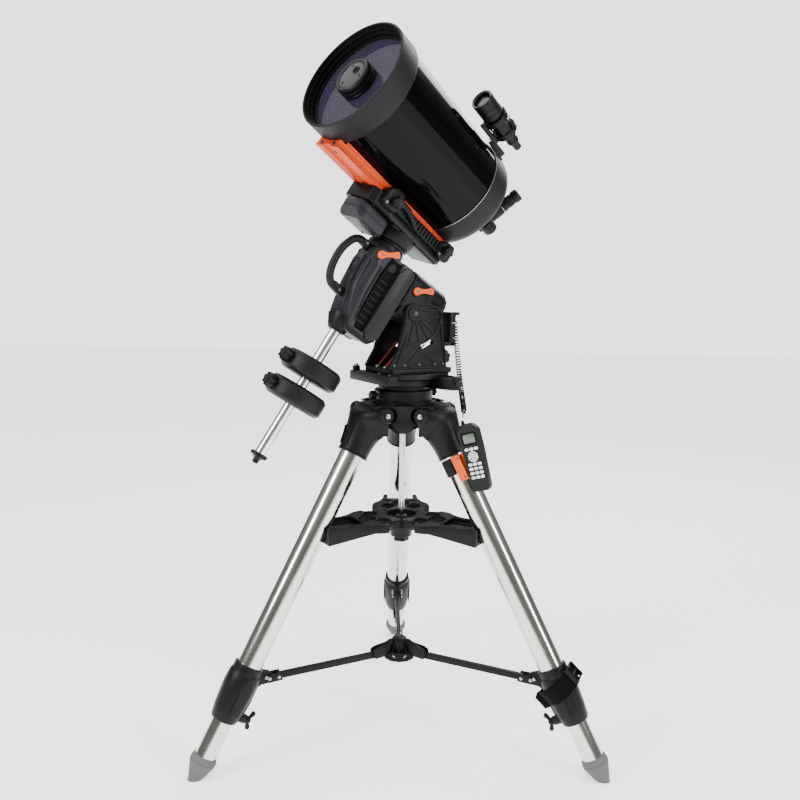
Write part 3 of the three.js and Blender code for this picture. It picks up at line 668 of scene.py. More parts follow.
def cord():
    """A helix of thin wire round the route, straight for a little at both ends."""
    route = smoothed([Vector(p) for p in CORD_ROUTE], 24)
    far = [0.0]
    for a, b in zip(route, route[1:]):
        far.append(far[-1] + (b - a).length)
    total = far[-1]
    steps_each = 18
    step = COIL_PITCH / steps_each
    count = int(total / step)
    ahead = (route[1] - route[0]).normalized()
    side = ahead.orthogonal().normalized()
    points = []
    k = 0
    angle = 0.0
    fastest = 2 * math.pi / COIL_PITCH
    for i in range(count + 1):
        s = total * i / count
        while k < len(far) - 2 and far[k + 1] < s:
            k += 1
        t = (s - far[k]) / (far[k + 1] - far[k])
        middle = route[k].lerp(route[k + 1], t)
        way = (route[k + 1] - route[k]).normalized()
        side = (side - way * side.dot(way)).normalized()
        up = way.cross(side)
        grow = min(1.0, max(0.0, (min(s, total - s) - STRAIGHT) / OPENING_LENGTH))
        radius = COIL_R * grow * grow * (3 - 2 * grow)
        room = max(radius, 0.2) * (BEND_R - radius)
        rate = fastest if grow == 1.0 else min(fastest, 1 / math.sqrt(room))
        angle += rate * total / count
        points.append(middle + (side * math.cos(angle) + up * math.sin(angle)) * radius)
    wire = sweep(points, CORD_WIRE / 2, CORD, 10)
    relief_top = sweep([points[0], points[0].lerp(points[14], 1.0)], [4.5, 2.2], CORD, 20)
    made = piece("handset_cord_coil", [wire], TRIPOD, "tripod", "handset_cord")
    top = piece("cord_strain_relief", [relief_top], TRIPOD, "tripod")


cord()


# ------------------------------------------------------------ tripod
def leg_tubes(name):
    upper = lathe([(32.2, 228), (34, 228), (35, 229), (35, 1029), (34, 1030), (32.2, 1030)], STEEL, 96)
    piece(f"upper_leg_tube_{name}", [upper], LEG[name], "tripod", f"leg_tube_upper_{name}")
    lower = lathe([(26.5, 56), (29.5, 56), (29.5, 619), (28.5, 620), (26.5, 620)], STEEL, 88)
    piece(f"lower_leg_tube_{name}", [lower], LEG[name], f"lower_leg_{name}", f"leg_tube_lower_{name}")


def leg_clamp(name):
    low, high = CLAMP_LOW, CLAMP_HIGH
    body = lathe([(0, low), (33.5, low), (35.5, low + 1.5), (38, low + 8), (42.5, low + 38),
                  (45.5, low + 78),
                  (46.6, low + 100), (46, high - 40), (44.4, high - 24), (41.2, high - 19),
                      (41, high - 2),
                  (39.5, high), (0, high)], CAST, 72, 24)
    boss = placed(cylinder(12.5, 30, 63, CAST, 32, 1.5), turned(-QUARTER, "Y"))
    at(boss, z=low + 16)
    keel = side_prism([(-34, low + 4), (-47, low + 8), (-52, low + 60), (-51, high - 30),
                       (-44, high - 14), (-34, high - 10)], -9, 9, CAST, 3, 3)
    body = fused(body, boss, keel)
    bores = [cylinder(LOWER_TUBE_R + 0.3, low - 5, high + 5, CAST, 64),
             cylinder(UPPER_TUBE_R + 0.3, 227, high + 5, CAST, 64)]
    body = resharpened(cut(body, *bores), 28)
    panels = []
    for side in (-1, 1):
        panel = side_prism([(-14, low + 26), (14, low + 26), (18, high - 54), (12, high - 40),
                            (-12, high - 40), (-18, high - 54)], 43, 46.9, CAST, 1.6, 3)
        panels.append(placed(panel, turned(side * math.radians(90) + math.radians(90), "Z")))
    lug = side_prism([(-38, high - 52), (-66, high - 36), (-79, high - 28), (-79, high - 6), (-66, high),
                      (-38, high - 4)], -9, 9, CAST, 1.6)
    rib = side_prism([(-36, high - 60), (-60, high - 46), (-36, high - 20)], -3, 3, CAST, 1)
    bolts = []
    for x in (-69, -58):
        for side in (-1, 1):
            bolt = placed(hex_bolt(3.4, 4.2), turned(-side * QUARTER, "X"))
            bolts.append(at(bolt, x, side * 14, high - 17))
    piece(f"leg_clamp_body_{name}", [body, lug, rib, *panels, *bolts], LEG[name], "tripod",
          f"leg_clamp_{name}")


def wing_screw(name):
    """A lock screw with a two-lobed wing, pointing at the tripod's middle."""
    stem = cylinder(5.8, 31, 70, DULL, 24)
    collar = cylinder(10.5, 65, 76, PLASTIC, 32, 1.5)
    wing = prism([(x, y) for x, y in [(-25, -4), (-26, 1), (-22, 6), (-15, 5), (-8, -1), (-5, -4),
                                      (5, -4),
                                      (8, -1), (15, 5), (22, 6), (26, 1), (25, -4), (14, -8),
                                          (-14, -8)]],
                 -4.6, 4.6, PLASTIC, 1.8, 3)
    placed(wing, moved(0, 0, 79) @ turned(QUARTER, "X"))
    place = LEG[name] @ moved(0, 0, CLAMP_LOW + 16) @ turned(-QUARTER, "Y")
    piece(f"lock_screw_head_{name}", [stem, collar, wing], place, f"lock_screw_{name}",
          f"leg_lock_knob_{name}")


def leg_foot(name):
    body = lathe([(0, -22), (9, -22), (14, -16), (17, -2), (34.5, 42), (36, 45.5), (36, 57), (35, 59.5),
                  (32.4, 65.4), (30.2, 66), (30.2, 55.6), (0, 55.6)], RUBBER, 72, 24)
    groove = ring(37, 35.2, 49.6, 51, RUBBER, 72, 0.1)
    ground = block((-200, 200), (-200, 200), (-200, 0), RUBBER, 0)
    placed(ground, turned(LEG_LEAN, "Y"))
    body = resharpened(cut(body, groove, ground), 26)
    piece(f"rubber_foot_{name}", [body], LEG[name], f"lower_leg_{name}", f"leg_foot_{name}")


def leg_yoke(name):
    """The round-shouldered casting that takes the leg tube, with its two pivot ears."""
    lean = moved(FOOT_CIRCLE_R) @ turned(-LEG_LEAN, "Y")
    dome = lathe([(0, 880), (46, 880), (68, 896), (84, 918), (90, 938), (90, 950), (86, 961), (78, 969),
                  (66, 974), (48, 976.5), (0, 977)], CAST, 80)
    at(dome, 76)
    axis = [lean @ Vector((0, 0, z)) for z in (961, 975, 990, 1005, 1020, 1035, 1050, 1068)]
    sleeve = sweep(axis, [43.4, 43.6, 44.6, 46.6, 49.6, 53, 56, 57], CAST, 64)
    body = blended(fused(dome, sleeve), 2.6, 34)
    seam = lathe([(69.5, 955), (72.5, 955), (72.5, 990), (69.5, 990)], DARK, 88)
    placed(seam, moved(86, 0, 0) @ turned(math.radians(-5), "Y"))
    cuts = [seam,
            block((-60, 98), (-60.3, 60.3), (850, 990), CAST, 0),
            block((90, 128.3), (-60.3, 60.3), (925.5, 990), CAST, 0),
            block((-60, 60), (-160, 160), (850, 990), CAST, 0),
            placed(cylinder(UPPER_TUBE_R + 0.3, 700, 1032, CAST, 64), lean)]
    for side in (-60, 60):
        room = block((-80, 240), (-42.3, 42.3), (850, 990), CAST, 0)
        cuts.append(placed(room, turned(math.radians(side), "Z")))
    body = resharpened(cut(body, *cuts), 30)
    lip = placed(ring(44.4, 35.3, 960, 966, CAST, 72, 1.5), lean)
    shapes = [body, lip]
    for turn in (-20, 20):
        swell = side_prism([(40, 975), (47, 975), (50.5, 1000), (55.5, 1026), (50, 1030)], -3, 3,
                           CAST, 1.6, 3)
        shapes.append(placed(swell, lean @ turned(math.radians(turn), "Z")))
    for side in (-1, 1):
        ear = placed(cylinder(21, 78, 95, CAST, 48, 3), turned(-side * QUARTER, "X"))
        shapes.append(at(ear, LEG_PIVOT_R, 0, LEG_PIVOT_Z))
        rim = placed(ring(12.5, 9, 94, 97, CAST, 48, 1), turned(-side * QUARTER, "X"))
        shapes.append(at(rim, LEG_PIVOT_R, 0, LEG_PIVOT_Z))
        bolt = placed(hex_bolt(5.2, 6.5), turned(-side * QUARTER, "X"))
        shapes.append(at(bolt, LEG_PIVOT_R, side * 95, LEG_PIVOT_Z))
    piece(f"yoke_casting_{name}", shapes, LEG_TURN[name], "tripod", f"leg_yoke_{name}")


def apron_outline():
    """A plate that narrows between the two pivot ears beside it."""
    right = [(54, 981), (40, 980)] + arc(43, 955, 25, 98, 250, 9) + [(16, 912), (12, 905)]
    return right + [(-y, z) for y, z in reversed(right)]


def tripod_head():
    r = HEAD_DRUM_R
    top = lathe([(8.3, 905), (52, 905), (52, 977), (92, 977), (94, 979), (94, 985), (92, 987),
                 (r + 1.5, 988),
                 (r, 990), (r, 1014), (r - 1.5, 1016), (r - 4, HEAD_TOP_Z), (8.3, HEAD_TOP_Z)],
                     SATIN, 112, 28)
    groove = ring(r + 1, r - 1.2, 1008, 1009.2, SATIN, 112, 0.1)
    shapes = [resharpened(cut(top, groove), 30)]
    for heading in LEG_HEADING.values():
        tongue = block((20, 127), (-59.5, 59.5), (927, 979), CAST, 3, 3)
        shapes.append(placed(tongue, turned(math.radians(heading), "Z")))
        face = turned(math.radians(heading + 60), "Z")
        shapes.append(placed(end_prism(apron_outline(), 108, 122, CAST, 2.5, 3), face))
        web = block((30, 112), (-13, 13), (907, 980), CAST, 2)
        shapes.append(placed(web, face))
        for y in (-24, 24):
            screw = placed(cap_screw(3.6, 2, CAST), face @ moved(122, y * 0.9, 972) @ ALONG_X)
            shapes.append(screw)
    for heading in (211.4, 31.4):
        nut = placed(cylinder(9, r - 2, r + 0.4, DULL, 32, 0.4), turned(math.radians(heading), "Z")
                     @ moved(0, 0, 1003) @ ALONG_X)
        shapes.append(nut)
    piece("tripod_head_casting", shapes, TRIPOD, "tripod", "tripod_head")


def spreader_arm():
    """One flat arm with its bracket at the hub and its fork at the leg."""
    parts = [
        side_prism([(30, 214), (76, 215), (396, 225), (396, 243), (84, 234), (30, 236)], -6.5,
                   6.5, CAST, 1.4),
        side_prism([(10, 222), (70, 218), (88, 218), (88, 238), (66, 246), (34, 262), (10, 262)],
                   -3, 3, CAST, 1),
    ]
    for side in (-1, 1):
        parts.append(side_prism([(36, 226), (60, 216), (86, 214), (94, 220), (94, 240), (82, 247),
                                 (40, 252)],
                                side * 10 - 1.8, side * 10 + 1.8, CAST, 0.8))
        parts.append(side_prism([(384, 223), (426, 223), (429, 230), (429, 242), (424, 247), (384, 245)],
                                side * 11.8 - 2, side * 11.8 + 2, CAST, 1))
        fork_bolt = placed(hex_bolt(3.2, 3.4), turned(-side * QUARTER, "X"))
        parts.append(at(fork_bolt, 395, side * 14, 234))
    return parts


def spreader():
    z = SPREADER_Z
    hub = lathe([(0, z), (42, z), (45, z + 1.5), (46.5, z + 5), (46.5, z + 9), (45, z + 11),
                 (44, z + 12),
                 (42, z + 24), (40, z + 26), (25, z + 27), (24, z + 29), (23, z + 54), (21.5, z + 59),
                 (17, z + 62.5), (9, z + 64.3), (0, z + 64.5)], CAST, 80, 26)
    skirt = prism(polygon(12, 48.4, math.radians(1.4)), z + 2, z + 9, CAST, 2)
    shapes = [hub, skirt]
    for heading in LEG_HEADING.values():
        face = turned(math.radians(heading), "Z")
        for shape in spreader_arm():
            shapes.append(placed(shape, face))
        for side in (-1, 1):
            place = turned(math.radians(heading + 60 + side * 22), "Z") @ moved(43.6, 0, z + 17)
            slot = block((-2, 0.6), (-4.6, 4.6), (-1.4, 1.4), BOLT, 0.6)
            shapes.append(placed(slot, place @ turned(side * math.radians(38), "X")))
            pit = side_prism([(20, z + 26), (41, z + 26), (30, z + 38), (24, z + 44)], -1.6, 1.6,
                             CAST, 0.6)
            shapes.append(placed(pit, turned(math.radians(heading + 60 + side * 34), "Z")))
        web = side_prism([(20, z + 24), (40, z + 25), (24, z + 40), (20, z + 40)], -2, 2, CAST, 0.8)
        shapes.append(placed(web, turned(math.radians(heading + 60), "Z")))
    piece("spreader_frame", shapes, TRIPOD, "tripod", "leg_spreader")


def center_rod():
    rod = cylinder(8, 563, 1013, STEEL, 40, 0.8)
    piece("center_rod_bar", [rod], TRIPOD, "tripod", "center_rod")


def tray_arm():
    """One arm: a holed plate with a raised rim, a deep skirt, and a trough to the leg."""
    top = TRAY_TOP_Z
    outline = [(30, -72), (60, -84), (92, -88), (118, -84), (146, -66), (180, -55), (262, -52),
               (262, 52), (180, 55), (146, 66), (118, 84), (92, 88), (60, 84), (30, 72)]
    plate = prism(outline, top - 24, top, CAST, 2.4, 3)
    skirt = side_prism([(60, top - 22), (60, top - 28), (150, top - 36), (262, top - 48),
                        (262, top - 20)],
                       -52, 52, CAST, 1.5)
    arm = fused(plate, skirt)
    bite_x, bite_r = TRAY_BITE
    bites = []
    for turn in (-60, 60):
        bite = at(cylinder(bite_r, top - 80, top + 5, CAST, 48), bite_x)
        bites.append(placed(bite, turned(math.radians(turn), "Z")))
    leg = placed(cylinder(UPPER_TUBE_R + 0.6, 400, 900, CAST, 48),
                 moved(FOOT_CIRCLE_R) @ turned(-LEG_LEAN, "Y"))
    cuts = [block((76, 230), (-46, 46), (top - 70, top - 24), CAST, 0),
            prism(round_rect(152, 290, -40, 40, 8), top - 12, top + 5, CAST, 0),
            cylinder(47, top - 80, top + 5, CAST, 48), leg, *bites]
    cuts += [at(cylinder(r, top - 60, top + 5, CAST, 40), x, y) for x, y, r in TRAY_HOLES]
    return resharpened(cut(arm, *cuts), 30)


def tray_details():
    """Rims round the holes, ribs in the trough and a lip along its sides."""
    top = TRAY_TOP_Z
    parts = []
    for x, y, r in TRAY_HOLES:
        parts.append(at(lathe([(r, top - 22), (r + 3.4, top - 22), (r + 3.4, top + 0.6),
                               (r + 1.8, top + 2.6), (r, top + 1)], CAST, 48, 40), x, y))
    for side in (-1, 1):
        parts.append(block((150, 200), (side * 47 - 3, side * 47 + 3), (top - 2, top + 2), CAST, 1.6, 3))
        parts.append(block((156, 216), (side * 24 - 1.2, side * 24 + 1.2), (top - 13, top - 7),
                           CAST, 0.6))
        parts.append(block((120, 136), (side * 52 - 2, side * 52 + 1), (top - 32, top - 22), CAST, 0.8))
    parts.append(block((146, 150), (-44, 44), (top - 3, top + 2.4), CAST, 1.2))
    return parts


def tray():
    """Three arms round a bowl that is open at the top."""
    top = TRAY_TOP_Z
    hub = lathe([(8.3, top - 66), (29, top - 66), (31, top - 64), (33, top - 52), (40, top - 42),
                 (45, top - 26),
                 (47.6, top - 6), (49, top - 1), (48, top + 1.6), (45, top + 1.6), (43, top - 2),
                     (40, top - 14),
                 (26, top - 18), (18, top - 18), (16, top - 4), (8.3, top - 4)], CAST, 88, 28)
    shapes = [hub]
    for name, heading in LEG_HEADING.items():
        face = turned(math.radians(heading), "Z")
        arm = tray_arm()
        if name == "back":
            arm = resharpened(cut(arm, block((BACK_ARM_END, 300), (-80, 80), (500, 700), CAST, 0)))
        for shape in (arm, *tray_details()):
            shapes.append(placed(shape, face))
    piece("tray_casting", shapes, TRIPOD, "tripod", "accessory_tray")
    base = top - 66.3
    knob = prism(lobes(24, 5, 4), base - 14, base, PLASTIC, 2.2, 3)
    core = cylinder(8.4, base - 16, base + 2, PLASTIC, 32)
    piece("tray_knob_grip", [resharpened(cut(knob, core))], TRIPOD, "tray_knob", "tray_knob")


def strap():
    """Webbing round the right clamp, with a ladder buckle and a loose tail."""
    tilt = (moved(0, 0, STRAP_MIDDLE + STRAP_LIFT) @ turned(math.radians(-19),
                                                            "Y") @ turned(math.radians(6), "X")
            @ moved(0, 0, -STRAP_MIDDLE))
    band = lathe([(50.4, 232), (52.4, 232), (53, 233), (53, 279), (52.4, 280), (50.4, 280)],
                 WEBBING, 96, 40)
    second = lathe([(53.2, 236), (54.8, 236), (54.8, 276), (53.2, 276)], WEBBING, 96, 40)
    keep = block((-80, 80), (-80, 20), (200, 300), WEBBING, 0)
    second = resharpened(overlap(second, keep))
    bars = []
    for y in (-24, 24):
        bars.append(block((53, 65), (y - 2.4, y + 2.4), (237, 283), PLASTIC, 1.6, 3))
    for z in (239, 260, 281):
        bars.append(block((55, 63), (-23, 23), (z - 2.2, z + 2.2), PLASTIC, 1.4, 3))
    pad = block((54, 58), (-19, 19), (244, 276), WEBBING, 1)
    fold = side_prism([(-44, 281), (-62, 282), (-77, 274), (-77, 234), (-62, 231), (-44, 231)],
                      -14, -10.5, WEBBING, 1.2, 3)
    shapes = [placed(s, tilt) for s in (band, second, fold, pad, *bars)]
    piece("webbing_strap", shapes, LEG["right"], "tripod", "leg_strap")


for leg_name in LEG_HEADING:
    leg_tubes(leg_name)
    leg_clamp(leg_name)
    wing_screw(leg_name)
    leg_foot(leg_name)
    leg_yoke(leg_name)
tripod_head()
spreader()
center_rod()
tray()
strap()


# ------------------------------------------------------------ hand controller
def handset_holder():
    """A band round the leg, with an orange back plate and a deep lip at the controller's side."""
    band = lathe([(35.4, 908), (40, 908), (41, 909), (41, 955), (40, 956), (35.4, 956)], PLASTIC, 72, 30)
    buckle = block((-22, 6), (-45.5, -40), (912, 952), PLASTIC, 1.4)
    plate = block((14, 90), (-37.4, -33), (884, 956), ORANGE, 1.4)
    rim = side_prism(round_rect(14, 41, 884, 956, 3), -54, -34, ORANGE, 1.4, 3)
    pit = side_prism(round_rect(26, 50, 892, 948, 3), -50, -37, ORANGE, 0)
    lip = resharpened(cut(rim, pit))
    rib = side_prism(round_rect(19, 21.4, 890, 950, 1.1), -55, -53, ORANGE, 0.5)
    screws = [placed(cap_screw(2.8, 1.6, DULL), moved(33, -54, z) @ turned(QUARTER, "X"))
              for z in (893, 947)]
    piece("controller_holder", [band, buckle, plate, lip, rib, *screws], LEG["right"], "tripod",
          "handset_holder")


def handset_outline(grow=0.0):
    half = 31 + grow
    top, low = 94 + grow, -94 - grow
    right = [(16, low), (22, low + 3), (half - 5, low + 12), (half - 3, -38), (half, 18), (half, 58)]
    crown = arc(half - 22, top - 26, 22, 0, 50, 5) + arc(0, top - 44, 44, 62, 90, 4)
    right += crown
    return right + [(-x, z) for x, z in reversed(right)]


def key_grid(face):
    """Rows of rounded keys round a round pad, in the handset's XZ plane."""
    keys = []
    rows = [(24, (-14, 0, 14)), (-18, (-14, 0, 14)), (-30, (-14, 0, 14)), (-42, (-14, 0, 14)),
            (-54, (-14, 0, 14))]
    for z, places in rows:
        for x in places:
            keys.append(side_prism(round_rect(x - 5.8, x + 5.8, z - 4, z + 4, 3), face - 1.6,
                                   face + 1.2, KEY, 0.8))
    pad = placed(cylinder(14.5, 0, 3.4, KEY, 48, 1), moved(0, face + 1, 3) @ turned(QUARTER, "X"))
    well = placed(ring(10, 8.6, 3.2, 3.6, DARK, 40, 0.05), moved(0, face + 1, 3) @ turned(QUARTER, "X"))
    keys += [pad, well]
    for i in range(4):
        t = math.pi / 4 + i * QUARTER
        bar = side_prism([(-6.5, -0.5), (6.5, -0.5), (6.5, 0.5), (-6.5, 0.5)], face - 2.7, face, DARK, 0)
        placed(bar, moved(0, 0, 3) @ turned(t, "Y") @ moved(7.2, 0, 0))
        keys.append(bar)
    return keys


def hand_controller():
    shell = side_prism(handset_outline(), -12, 12, HANDSET_SHELL, 4, 4)
    pit = side_prism(round_rect(-23.3, 23.3, -65.3, 30.3, 4), -20, -9.5, HANDSET_SHELL, 0)
    window = side_prism(round_rect(-19, 19, 39, 66, 3), -20, -11, HANDSET_SHELL, 0)
    seam = side_prism(handset_outline(2), 1.2, 2.0, HANDSET_SHELL, 0)
    inner = side_prism(handset_outline(-0.9), 0.5, 3, HANDSET_SHELL, 0)
    seam = cut(seam, inner)
    shell = resharpened(cut(shell, pit, window, seam), 28)
    screen = side_prism(round_rect(-17.5, 17.5, 40.5, 64.5, 2), -11.6, -10, LCD, 0.4)
    frame_edge = cut(side_prism(round_rect(-23, 23, 35, 70, 5), -12.7, -11.4, DARK, 0.3),
                     side_prism(round_rect(-18.5, 18.5, 39.5, 65.5, 2.5), -20, -9, DARK, 0))
    ribs = [side_prism(round_rect(x - 1, x + 1, -91, -74, 0.9), -12.8, -11, HANDSET_SHELL, 0.3)
            for x in (-15, -9, -3, 3, 9, 15)]
    gland = at(lathe([(0, 89), (6, 89), (6, 93), (4.2, 101), (3.6, 104), (0, 104)], PLASTIC, 32), -12)
    piece("controller_shell", [shell, screen, resharpened(frame_edge), *ribs, gland], HANDSET,
          "hand_controller", "hand_controller")
    mat = side_prism(round_rect(-23, 23, -65, 30, 4), -12.2, -10.7, HANDSET_SHELL, 0.4)
    piece("controller_keys", [mat, *key_grid(-12.2)], HANDSET, "keypad", "handset_keypad")


handset_holder()
hand_controller()


# ------------------------------------------------------------ azimuth base and side plates
def azimuth_base():
    z = HEAD_TOP_Z + 0.3
    post = lathe([(8.6, z), (71, z), (72, z + 1), (72, 1026), (70.5, 1027.5), (70.5, 1030), (75, 1031),
                  (75, 1046), (92, 1051), (8.6, 1051)], CAST, 96, 28)
    band = ring(76.2, 74, 1032.5, 1044.5, BAND, 96, 0.8)
    flange = ring(100, 60, 1051.5, 1066, BAND, 96, 1.4)
    north = prism([(84, -98), (88, -104), (118, -104), (124, -98), (124, 110), (118, 116), (88, 116),
                   (84, 110), (72, 60), (72, -60)], 1040, 1066, CAST, 2.4, 3)
    south = prism([(-60, -50), (-84, -60), (-116, -60), (-122, -54), (-122, 120), (-114, 128),
                   (-92, 128), (-84, 120), (-60, 60)], 1020, 1056, CAST, 2.4, 3)
    window = prism(round_rect(-110, -94, 74, 112, 6), 1010, 1070, CAST, 0)
    deck = prism([(-124, -62), (-112, -74), (80, -74), (92, -62), (92, 62), (80, 74), (-112, 74),
                  (-124, 62)],
                 1066, 1080, CAST, 2, 3)
    under = prism([(-118, -58), (-106, -68), (74, -68), (86, -56), (86, 56), (74, 68), (-106, 68),
                   (-118, 58)],
                  1052, 1066, CAST, 1)
    wall = block((-122, -108), (-32, 32), (1076, 1150), CAST, 2)
    shelf = block((-160, -108), (-32, 32), (1138, 1150), CAST, 2)
    column = prism([(-160, -27), (-155, -32), (-139, -32), (-134, -27), (-134, 27), (-139, 32),
                    (-155, 32), (-160, 27)], 1138, 1236, CAST, 1.6)
    grooves = [block((-170, -120), (-40, 40), (h, h + 1.6), CAST, 0) for h in (1160, 1204)]
    column = resharpened(cut(column, *grooves))
    port = block((-184, -150), (-12, 12), (1227, 1236), CAST, 1.4)
    cover = prism(round_rect(-161, -159, -24, 24, 0.9), 1166, 1198, BAND, 0.3)
    shapes = [post, band, flange, resharpened(cut(south, window)), north, deck, under, wall,
              shelf, column, port, cover]
    stud = at(lathe([(0, 1060), (7, 1060), (7, 1083), (5.5, 1085), (0, 1085)], BOLT, 32), 104, -94)
    grip = at(prism(lobes(12, 6, 2), 1066, 1079, PLASTIC, 1.2), 104, -94)
    shapes += [stud, grip]
    for n, e in ((104, 96), (104, 40), (104, -40), (-103, -40)):
        shapes.append(at(cap_screw(5, 4.5, DULL), n, e, 1065.8 if n > 0 else 1055.8))
    plug = placed(lathe([(0, 0), (11, 0), (11, 6), (9, 8), (8, 10), (0, 10)], BAND, 40),
                  turned(-QUARTER, "X"))
    shapes.append(at(plug, -103, 127, 1038))
    for side in (-1, 1):
        rod = sweep([(74, side * 22, 1081), (40, side * 22, 1118), (14, side * 22, 1150)], 3.4,
                    RED_ROD, 16)
        shapes.append(rod)
        nut = placed(cap_screw(6, 6, BOLT), moved(74, side * 22, 1080))
        shapes.append(nut)
    piece("azimuth_base_casting", shapes, MOUNT, "mount_base", "azimuth_base")


def azimuth_knob(name, side):
    stem = cylinder(5.8, HEAD_DRUM_R + 0.6, 95, DULL, 24)
    grip = prism(lobes(13, 4, 3, 10), 93, 110, PLASTIC, 2, 3)
    cap = cylinder(6, 109, 111, BAND, 32, 0.8)
    place = MOUNT @ moved(0, 0, 1003) @ turned(side * QUARTER, "Y")
    piece(f"azimuth_screw_{name}", [stem, grip, cap], place, f"azimuth_knob_{name}",
          f"azimuth_knob_{name}")


def plate_outline(inset=0.0):
    d = inset
    return [(92 - 1.4 * d, 1080.3 + d), (-100 + d, 1080.3 + d), (-96 + d, 1130), (-84 + d, 1180),
            (-82 + d, 1236 - 0.6 * d), (-72 + 0.6 * d, 1252 - d), (-40, 1262 - d), (7, 1264 - d),
            (28 - 0.5 * d, 1258 - d), (38 - d, 1242), (40 - d, 1210), (62 - 1.2 * d, 1130)]


def rib(points, width, low, high, look):
    """A straight rib on a plate, from one (n, z) point to the other."""
    (n0, z0), (n1, z1) = points
    way = Vector((n1 - n0, z1 - z0)).normalized()
    side = Vector((-way.y, way.x)) * width / 2
    corners = [(n0 + side.x, z0 + side.y), (n0 - side.x, z0 - side.y), (n1 - side.x, z1 - side.y),
               (n1 + side.x, z1 + side.y)]
    return side_prism(corners, low, high, look, 0.8)


def fan(radius, start, end, steps=12):
    return [(PIVOT_N + x, PIVOT_Z + z) for x, z in arc(0, 0, radius, start, end, steps)]


def side_plate(name, side):
    """A latitude cheek with a raised border, a pivot boss, fan ribs and the arc slot."""
    low, high = 58, 69
    slab = side_prism(plate_outline(), low, high, CAST, 1)
    pivot = placed(cylinder(12.4, 40, 90, CAST, 48), moved(PIVOT_N, 0, PIVOT_Z) @ turned(-QUARTER, "X"))
    arc_slot = side_prism(fan(90, 232, 262) + fan(104, 262, 232), 40, 90, CAST, 0)
    border = cut(side_prism(plate_outline(), high - 1, 72, CAST, 0), side_prism(plate_outline(5),
                                                                                40, 90, CAST, 0))
    window = side_prism(fan(90, 232, 262) + fan(104, 262, 232), 40, 90, CAST, 0)
    shapes = [resharpened(cut(slab, pivot, arc_slot)), softened(cut(border, window), 0.7)]
    boss = placed(ring(23, 12.5, 0, 6, CAST, 64, 1.6), moved(PIVOT_N, 67,
                                                             PIVOT_Z) @ turned(-QUARTER, "X"))
    shapes.append(boss)
    for dz in (8, -9):
        shapes.append(rib([(PIVOT_N - 20, PIVOT_Z + dz), (-76, PIVOT_Z + dz)], 4, high - 1, 71.6, CAST))
    for angle in (208, 224, 240, 262, 284):
        t = math.radians(angle)
        start = (PIVOT_N + 22 * math.cos(t), PIVOT_Z + 22 * math.sin(t))
        end = (PIVOT_N + 86 * math.cos(t), PIVOT_Z + 86 * math.sin(t))
        shapes.append(rib([start, end], 4, high - 1, 71.6, CAST))
    shapes.append(side_prism(fan(84, 180, 290, 20) + fan(89, 290, 180, 20), high - 1, 72, CAST, 0.8))
    for start, end in (((-70, 1090), (18, 1148)), ((40, 1090), (-24, 1148)), ((66, 1090), (30, 1180))):
        shapes.append(rib([start, end], 4, high - 1, 71.6, CAST))
    for n, z in ((-88, 1092), (74, 1092), (-60, 1092), (-8, 1092), (40, 1092)):
        screw = placed(cap_screw(3.6, 3.4, DULL), moved(n, 68.5, z) @ turned(-QUARTER, "X"))
        shapes.append(screw)
    place = MOUNT if side > 0 else MOUNT @ Matrix.Scale(-1, 4, (0, 1, 0))
    piece(f"side_plate_casting_{name}", shapes, place, "mount_base", f"side_plate_{name}")


def latitude_knob():
    z = 1105
    stem = cylinder(4.9, 60, 130, BOLT, 24)
    grip = prism(lobes(20, 5, 4), 127, 150, PLASTIC, 2.4, 3)
    hub = cylinder(11, 122, 128, PLASTIC, 40, 1)
    place = MOUNT @ moved(0, 0, z) @ turned(-QUARTER, "Y")
    piece("latitude_screw", [stem, hub, grip], place, "latitude_knob", "latitude_knob")


# ------------------------------------------------------------ polar housing
def section(grow=1.0):
    return [(-42 * grow, -64 * grow), (42 * grow, -64 * grow), (56 * grow, -50 * grow),
            (56 * grow, 40 * grow),
            (46 * grow, 62 * grow), (24 * grow, 76 * grow), (-24 * grow, 76 * grow),
                (-46 * grow, 62 * grow),
            (-56 * grow, 40 * grow), (-56 * grow, -50 * grow)]


def polar_housing():
    body = end_prism(section(), -226, -102, CAST, 5, 4)
    neck = placed(lathe([(0, -108), (62, -108), (66, -106), (66, -98), (64, -96), (0, -96)], CAST,
                        96), ALONG_X)
    cap = end_prism(section(0.92), -236, -222, CAST, 4, 3)
    band = end_prism(section(1.012), -176, -172, BAND, 0.6)
    axle = placed(cylinder(12, -72.3, 72.3, BAND, 48, 1.2), moved(-146.9, 0, -36) @ turned(QUARTER, "X"))
    shapes = [body, neck, cap, band, axle]
    for side in (-1, 1):
        hub = placed(cylinder(15, 0, 3, CAST, 48, 1), moved(-121, side * 55.6,
                                                            20) @ turned(-side * QUARTER, "X"))
        shapes.append(hub)
        recess = prism(round_rect(-214, -184, -30, 24, 4), 0, 2, DARK, 0.5)
        placed(recess, moved(0, side * 55, 0) @ turned(-side * QUARTER, "X") @ Matrix.Scale(side,
                                                                                            4,
                                                                                                (0, 1, 0)))
        shapes.append(recess)
        hex_key = placed(cap_screw(4, 2.5, DULL), moved(-146.9, side * 72,
                                                        -36) @ turned(-side * QUARTER, "X"))
        shapes.append(hex_key)
    for x in (-214, -190, -150, -126):
        for y in (-14, 14):
            shapes.append(at(cap_screw(3.6, 2.6, DULL), x, y, 75.6))
    for y, z in ((-34, -44), (34, -44), (-34, 44), (34, 44)):
        screw = placed(cap_screw(3.6, 2.4, DULL), moved(-236, y, z) @ turned(-QUARTER, "Y"))
        shapes.append(screw)
    port = placed(ring(26, 18, 0, 5, CAST, 64, 1.4), moved(-235, 0, 4) @ turned(-QUARTER, "Y"))
    cover = placed(cylinder(18.4, 0, 3, DARK, 48, 0.8), moved(-235, 0, 4) @ turned(-QUARTER, "Y"))
    shapes += [port, cover]
    piece("polar_housing_casting", shapes, POLAR, "polar_housing", "ra_housing")


